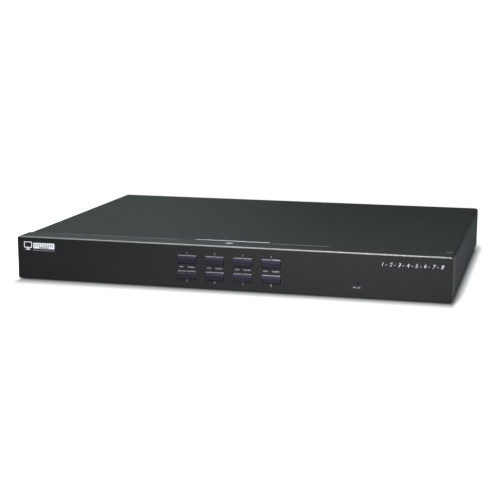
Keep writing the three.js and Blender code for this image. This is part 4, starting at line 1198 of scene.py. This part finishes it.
def low_voltage_harness():
    part = Part()
    supply, main = (-155, -14), (-128, 2)  # where its plugs stand on the two boards
    looks = ("lead_red", "lead_black", "lead_yellow", "lead_black", "lead_red")
    for i, look in enumerate(looks):
        shift = (i - 2) * 1.7
        bow = 0.8 * math.sin(i * 2.1)
        route = [(supply[0] + shift, supply[1], 13), (supply[0] + shift, supply[1], 21 + bow)]
        route += [(-142, -8 + shift * 0.6, 26.5 + bow)]
        route += [(main[0] + shift, main[1] - 2, 21 + bow), (main[0] + shift, main[1], 13)]
        part.lead(route, 0.72, look, Vector((0, 1, 0)))
    for x, y in (supply, main):
        part.block(x, y, 5, 3, (BOARD_TOP + 0.1, 15), "white_plastic", 0.3)
        part.box((x - 2.5, x + 2.5), (y - 3.5, y - 2.7), (BOARD_TOP + 2, 14), "white_plastic", 0.15)
    return part


def mains_harness():
    inlet_back = box_of("mains_inlet")[0].y
    switch_back = box_of("power_switch_housing")[0].y
    inlet, rocker_middle = middle_of("mains_inlet"), middle_of("power_switch_housing")
    part = Part()
    for i, look in enumerate(("lead_brown", "lead_blue")):
        shift = (i - 0.5) * 2.4
        top = (-178 + shift, 105, 15)
        to_inlet = [top, (-180 + shift, 107, 25), (-188 + shift, 120, 24)]
        to_inlet.append((inlet.x + shift, inlet_back - 4, inlet.z))
        to_switch = [top, (-176 + shift, 107, 26), (-164 + shift, 124, 25)]
        to_switch.append((rocker_middle.x + shift, switch_back - 3, rocker_middle.z))
        for route in (to_inlet, to_switch):
            part.lead(route, 1.05, look)
    part.box((-184, -172), (100, 110), (BOARD_TOP + 0.1, 18), "white_plastic", 0.35)
    for place, back, half, depth in ((inlet, inlet_back, 6, 7), (rocker_middle, switch_back, 4, 6)):
        x, z = (place.x - half, place.x + half), (place.z - 4, place.z + 4)
        part.box(x, (back - depth, back - 0.3), z, "black_plastic", 0.4)
    return part


for node, build, slot_name in (
    ("ribbon_cable", ribbon_cable, "cable_grey"),
    ("low_voltage_harness", low_voltage_harness, "lead_black"),
    ("mains_harness", mains_harness, "lead_black"),
):
    piece(node + "_bundle", finished_mesh(node, build()), node)


# ---- Printing: thin ink on the front face and the rear panel ----

INK = 0.03


def numeral(text, size, slant=0.0):
    """A numeral as a thin solid in (X, Y), centred on the origin, its ink rising along +Z."""
    curve = bpy.data.curves.new("numeral", "FONT")
    curve.body = text
    curve.size = size
    curve.shear = slant
    curve.extrude = INK
    curve.align_x = "CENTER"
    curve.align_y = "CENTER"
    curve.resolution_u = 4
    holder = bpy.data.objects.new("numeral", curve)
    bpy.context.scene.collection.objects.link(holder)
    data = bpy.data.meshes.new_from_object(holder.evaluated_get(bpy.context.evaluated_depsgraph_get()))
    part = Part()
    part.bm.from_mesh(data)
    bpy.data.objects.remove(holder)
    bpy.data.curves.remove(curve)
    bpy.data.meshes.remove(data)
    bmesh.ops.remove_doubles(part.bm, verts=part.bm.verts, dist=1e-4)
    return part


class Print:
    """Ink laid on an upright face: u runs to the reader's right, z up."""

    def __init__(self, face_y, facing):
        self.part = Part()
        self.face_y = face_y
        self.facing = facing  # -1 read from the front, +1 read from the rear

    def across(self, x):
        """How far to the reader's right a place at x lies."""
        return -x if self.facing > 0 else x

    def inked(self, shape, look):
        for face in shape.bm.faces:
            face.material_index = FINISH_ORDER.index(look)
        upright = Matrix.Rotation(math.pi / 2, 4, "X")
        turn = Matrix.Rotation(math.pi if self.facing > 0 else 0, 4, "Z")
        self.part.absorb(shape, Matrix.Translation((0, self.face_y, 0)) @ turn @ upright)

    def text(self, text, x, z, size, look, slant=0.0):
        shape = numeral(text, size, slant)
        self.inked(Part().absorb(shape, Matrix.Translation((self.across(x), z, 0))), look)

    def bar(self, x, z, half_width, half_height, look, radius=0.0):
        outline = rectangle(half_width, half_height, radius, (self.across(x), z))
        self.inked(Part().prism(outline, (-INK, INK), look, "z"), look)

    def loop(self, x, z, half_width, half_height, line, look, radius):
        centre = (self.across(x), z)
        outer = rectangle(half_width, half_height, radius, centre, 6)
        inner = rectangle(half_width - line, half_height - line, max(0.05, radius - line), centre, 6)
        self.inked(Part().sleeve(outer, inner, (-INK, INK), look, "z", INK / 3), look)


def screen_icon(ink, x, z, size, look):
    """A monitor: a rounded frame, a neck and a foot."""
    ink.loop(x, z + 0.16 * size, 0.5 * size, 0.36 * size, 0.09 * size, look, 0.1 * size)
    ink.bar(x, z - 0.26 * size, 0.08 * size, 0.07 * size, look)
    ink.bar(x, z - 0.38 * size, 0.28 * size, 0.05 * size, look, 0.03 * size)


def keyboard_icon(ink, x, z, size, look):
    ink.loop(x, z, 0.62 * size, 0.3 * size, 0.07 * size, look, 0.09 * size)
    for row in range(2):
        for column in range(5):
            key_x, key_z = x + (column - 2) * 0.21 * size, z + (0.12 - 0.2 * row) * size
            ink.bar(key_x, key_z, 0.07 * size, 0.05 * size, look)


def mouse_icon(ink, x, z, size, look):
    ink.loop(x, z, 0.2 * size, 0.32 * size, 0.07 * size, look, 0.19 * size)
    ink.bar(x, z + 0.13 * size, 0.035 * size, 0.09 * size, look)


def power_icon(ink, x, z, size, look):
    ink.loop(x, z, 0.42 * size, 0.42 * size, 0.12 * size, look, 0.41 * size)
    ink.bar(x, z + 0.34 * size, 0.16 * size, 0.2 * size, "front_paint")
    ink.bar(x, z + 0.3 * size, 0.06 * size, 0.24 * size, look)


def badge(ink, left, z):
    """A monitor beside a wide keyboard, over a thin rule."""
    screen_icon(ink, left + 4.4, z + 0.4, 8.8, "ink_white")
    keyboard = left + 21.8
    ink.bar(keyboard, z + 1.1, 11.6, 2.9, "ink_white", 0.9)
    for row in range(2):
        for column in range(9):
            ink.bar(keyboard + 2.4 * (column - 4), z + 2.4 - 1.8 * row, 0.75, 0.5, "ink_black")
    ink.bar(keyboard, z - 0.9, 5.2, 0.45, "ink_black")
    ink.bar(keyboard, z - 3.6, 11.6, 0.4, "ink_grey")


MARK_PITCH = 1.5
NUMERAL_PITCH = 8
ROW_MARKS = ((-7.1, 3), (1.4, 5))  # each run of square marks: its start from a key's middle, and its length


def front_legends():
    ink = Print(FACE_Y, -1)
    between = (middle_of("key_cap_1").z + middle_of("key_cap_5").z) / 2
    for number in KEYS:
        middle = middle_of("key_cap_" + number)
        above = middle.z > between
        ink.text(number, middle.x, middle.z + 6.6 if above else middle.z - 6.2, 3.4, "ink_grey")
        if above:
            for start, count in ROW_MARKS:
                for i in range(count):
                    ink.bar(middle.x + start + MARK_PITCH * i, between + 0.2, 0.5, 0.6, "ink_grey")
    lamp = middle_of("power_lamp")
    x, z = lamp.x - 0.4, lamp.z - 3.9
    power_icon(ink, x, z, 2.4, "ink_grey")
    for side in (-1, 1):
        ink.bar(x + side * 2.4, z, 1.0, 0.6, "ink_grey")
    badge(ink, CASE_LOW.x + 7.5, CASE_TOP - 10.4)
    for i, number in enumerate(KEYS):
        x = CASE_HIGH.x - 66 + NUMERAL_PITCH * i
        ink.text(number, x, CASE_TOP - 9.9, 5.2, "ink_pale", 0.3)
        if i < len(KEYS) - 1:
            ink.bar(x + NUMERAL_PITCH / 2, CASE_TOP - 10.2, 0.9, 0.35, "ink_grey")
    return ink.part


def rear_legends():
    ink = Print(REAR_FACE_Y, 1)
    label_z = box_of("pc_port_1")[1].z + 2.6
    for number in KEYS:
        ink.text(number, middle_of("pc_port_" + number).x, label_z, 3.6, "ink_grey")
    video = middle_of("console_video_port")
    screen_icon(ink, video.x, label_z + 1.4, 5.0, "ink_grey")
    sockets = middle_of("console_keyboard_mouse_port")
    keyboard_icon(ink, sockets.x + 11.4, 14.7, 4.6, "ink_grey")
    mouse_icon(ink, sockets.x + 11.4, 27.7, 5.4, "ink_grey")
    usb, above_usb = middle_of("console_usb_port"), box_of("console_usb_port")[1].z + 3
    keyboard_icon(ink, usb.x + 2.4, above_usb, 4.4, "ink_grey")
    mouse_icon(ink, usb.x - 3.2, above_usb, 4.4, "ink_grey")
    return ink.part


piece("front_printing", finished_mesh("front_printing", front_legends()))
piece("rear_printing", finished_mesh("rear_printing", rear_legends()))


# ---- Floor, light and camera ----

# How far the soft contact shadow spreads beside the case and in front of it, in metres.
SHADOW_REACH = (0.013, 0.062, 1)
# The shadow lies mostly to the right of the case and in front of it.
SHADOW_SHIFT = (0.003, -0.02, 0)
# Half the patch of floor, under the case, that lets light through to the underside.
WINDOW = (0.2185, 0.1535, 1)
FLOOR_HALF = 6
FLOOR_DROP = 0.0004
BLACK, WHITE = (0, 0, 0, 1), (1, 1, 1, 1)
PALE = (0.93, 0.93, 0.93, 1)
FLOOR_GREY = (0.3, 0.31, 0.32, 1)
SKY, SKY_STRENGTH = (0.93, 0.97, 1.0, 1), 0.115


def seen_floor(graph):
    """What the camera sees: pale floor with a painted contact shadow close to the case, and plain white away
    from it.
    """
    half = (CASE_HIGH.x * MM - SHADOW_SHIFT[0], SHADOW_SHIFT[1] - FACE_Y * MM, 1)
    shifted = graph.vector("SUBTRACT", graph.place, SHADOW_SHIFT)
    outside = graph.vector("SUBTRACT", graph.vector("ABSOLUTE", shifted), half)
    outside = graph.vector("MAXIMUM", outside, (0, 0, 0))
    gap = graph.vector("LENGTH", outside, result="Value")
    share = graph.vector("LENGTH", graph.vector("DIVIDE", outside, SHADOW_REACH), result="Value")
    # The painted contact shadow: the floor's colour darkens towards the case.
    shade = graph.spread(share, 0.08, 1, 0, 1)
    pale = graph.mix(shade, BLACK, PALE)
    lit = graph.node("BsdfDiffuse", {"Color": pale}).outputs[0]
    glow = graph.node("Emission", {"Color": pale, "Strength": 0.75}).outputs[0]
    near = graph.node("AddShader", {0: lit, 1: glow}).outputs[0]
    far = graph.node("Emission", {"Color": WHITE, "Strength": 1.0}).outputs[0]
    distance = graph.spread(gap, 0, 1, 0.08, 0.3)
    return graph.node("MixShader", {0: distance, 1: near, 2: far}).outputs[0]


def unseen_floor(graph, clear):
    """What light itself meets: a grey floor with a clear window under the case."""
    grey = graph.node("BsdfDiffuse", {"Color": FLOOR_GREY}).outputs[0]
    inside = graph.vector("DIVIDE", graph.vector("ABSOLUTE", graph.place), WINDOW)
    x, y = (graph.node("SeparateXYZ", {0: inside}).outputs[axis] for axis in ("X", "Y"))
    beyond = graph.math("GREATER_THAN", graph.math("MAXIMUM", x, y), 1)
    return graph.node("MixShader", {0: beyond, 1: clear, 2: grey}).outputs[0]


def floor():
    """One material for both floors: the camera meets the seen one from above and nothing from below."""
    made = bpy.data.objects.new("floor", bpy.data.meshes.new("floor"))
    shape = bmesh.new()
    bmesh.ops.create_grid(shape, x_segments=1, y_segments=1, size=FLOOR_HALF)
    shape.to_mesh(made.data)
    made.location.z = -FLOOR_DROP
    bpy.context.scene.collection.objects.link(made)
    graph = Graph("floor")
    seen = seen_floor(graph)
    clear = graph.node("BsdfTransparent").outputs[0]
    unseen = unseen_floor(graph, clear)
    camera_ray = graph.node("LightPath").outputs["Is Camera Ray"]
    shown = graph.node("MixShader", {0: camera_ray, 1: unseen, 2: seen}).outputs[0]
    below = graph.math("MULTIPLY", graph.node("NewGeometry").outputs["Backfacing"], camera_ray)
    shown = graph.node("MixShader", {0: below, 1: shown, 2: clear}).outputs[0]
    graph.links.new(shown, graph.nodes["Material Output"].inputs["Surface"])
    made.data.materials.append(graph.material)


def world():
    """Faint sky light for the object, and plain white behind everything for the camera."""
    made = bpy.data.worlds.new("studio")
    made.use_nodes = True
    nodes, links = made.node_tree.nodes, made.node_tree.links
    soft = nodes["Background"]
    soft.inputs["Color"].default_value = SKY
    soft.inputs["Strength"].default_value = SKY_STRENGTH
    white = nodes.new("ShaderNodeBackground")
    white.inputs["Color"].default_value = WHITE
    white.inputs["Strength"].default_value = 1.0
    ray = nodes.new("ShaderNodeLightPath")
    mix = nodes.new("ShaderNodeMixShader")
    links.new(ray.outputs["Is Camera Ray"], mix.inputs[0])
    links.new(soft.outputs[0], mix.inputs[1])
    links.new(white.outputs[0], mix.inputs[2])
    links.new(mix.outputs[0], nodes["World Output"].inputs["Surface"])
    bpy.context.scene.world = made


def lamp(name, at, towards, size, watts, colour=(1, 1, 1), mirrored=True):
    """A rectangular soft light; one that isn't mirrored casts no glare on glossy surfaces."""
    data = bpy.data.lights.new(name, "AREA")
    data.shape = "RECTANGLE"
    data.size, data.size_y = size
    data.energy = watts
    data.color = colour
    made = bpy.data.objects.new(name, data)
    made.location = at
    made.rotation_euler = (Vector(towards) - Vector(at)).to_track_quat("-Z", "Y").to_euler()
    bpy.context.scene.collection.objects.link(made)
    made.visible_camera = False
    made.visible_glossy = mirrored


CAMERA_PLACE = (0.31207, -1.22867, 0.25686)
CAMERA_AZIMUTH = math.radians(14.94)
CAMERA_ELEVATION = math.radians(10.97)  # how far the camera looks down
CAMERA_LENS = 84.4
CAMERA_SENSOR = 36


def camera():
    data = bpy.data.cameras.new("camera")
    data.lens = CAMERA_LENS
    data.sensor_width = CAMERA_SENSOR
    data.clip_start = 0.01
    made = bpy.data.objects.new("camera", data)
    made.location = CAMERA_PLACE
    made.rotation_euler = (math.pi / 2 - CAMERA_ELEVATION, 0, CAMERA_AZIMUTH)
    bpy.context.scene.collection.objects.link(made)
    bpy.context.scene.camera = made


floor()
world()
lamp("overhead", (-0.35, -0.2, 1.5), (-0.1, 0, 0), (1.2, 1.2), 15.4)
lamp("front_near", (0.12, -0.48, 0.2), (0.12, -0.155, 0.02), (0.16, 0.1), 2.9, mirrored=False)
lamp("bend_strip", (0.02, -0.42, 1.0), (0.03, -0.15, 0.04), (0.4, 0.14), 6)
lamp("back_left", (-0.8, 1.5, 0.8), (-0.15, 0, 0.04), (0.8, 0.5), 1.4, (0.86, 0.98, 1.0))
lamp("right_side", (1.5, -0.3, 0.7), (0.2, 0, 0.02), (0.8, 0.6), 17, (0.85, 1.0, 1.0))
lamp("back_fill", (-0.1, 1.0, 0.018), (-0.02, 0.155, 0.02), (0.5, 0.03), 3)
lamp("left_fill", (-1.0, 0.35, 0.018), (-0.22, 0.1, 0.02), (0.4, 0.03), 1.5)
lamp("under_fill", (0, -0.1, -0.9), (0, 0, 0), (0.8, 0.8), 14)
camera()
bpy.context.scene.view_settings.view_transform = "Standard"
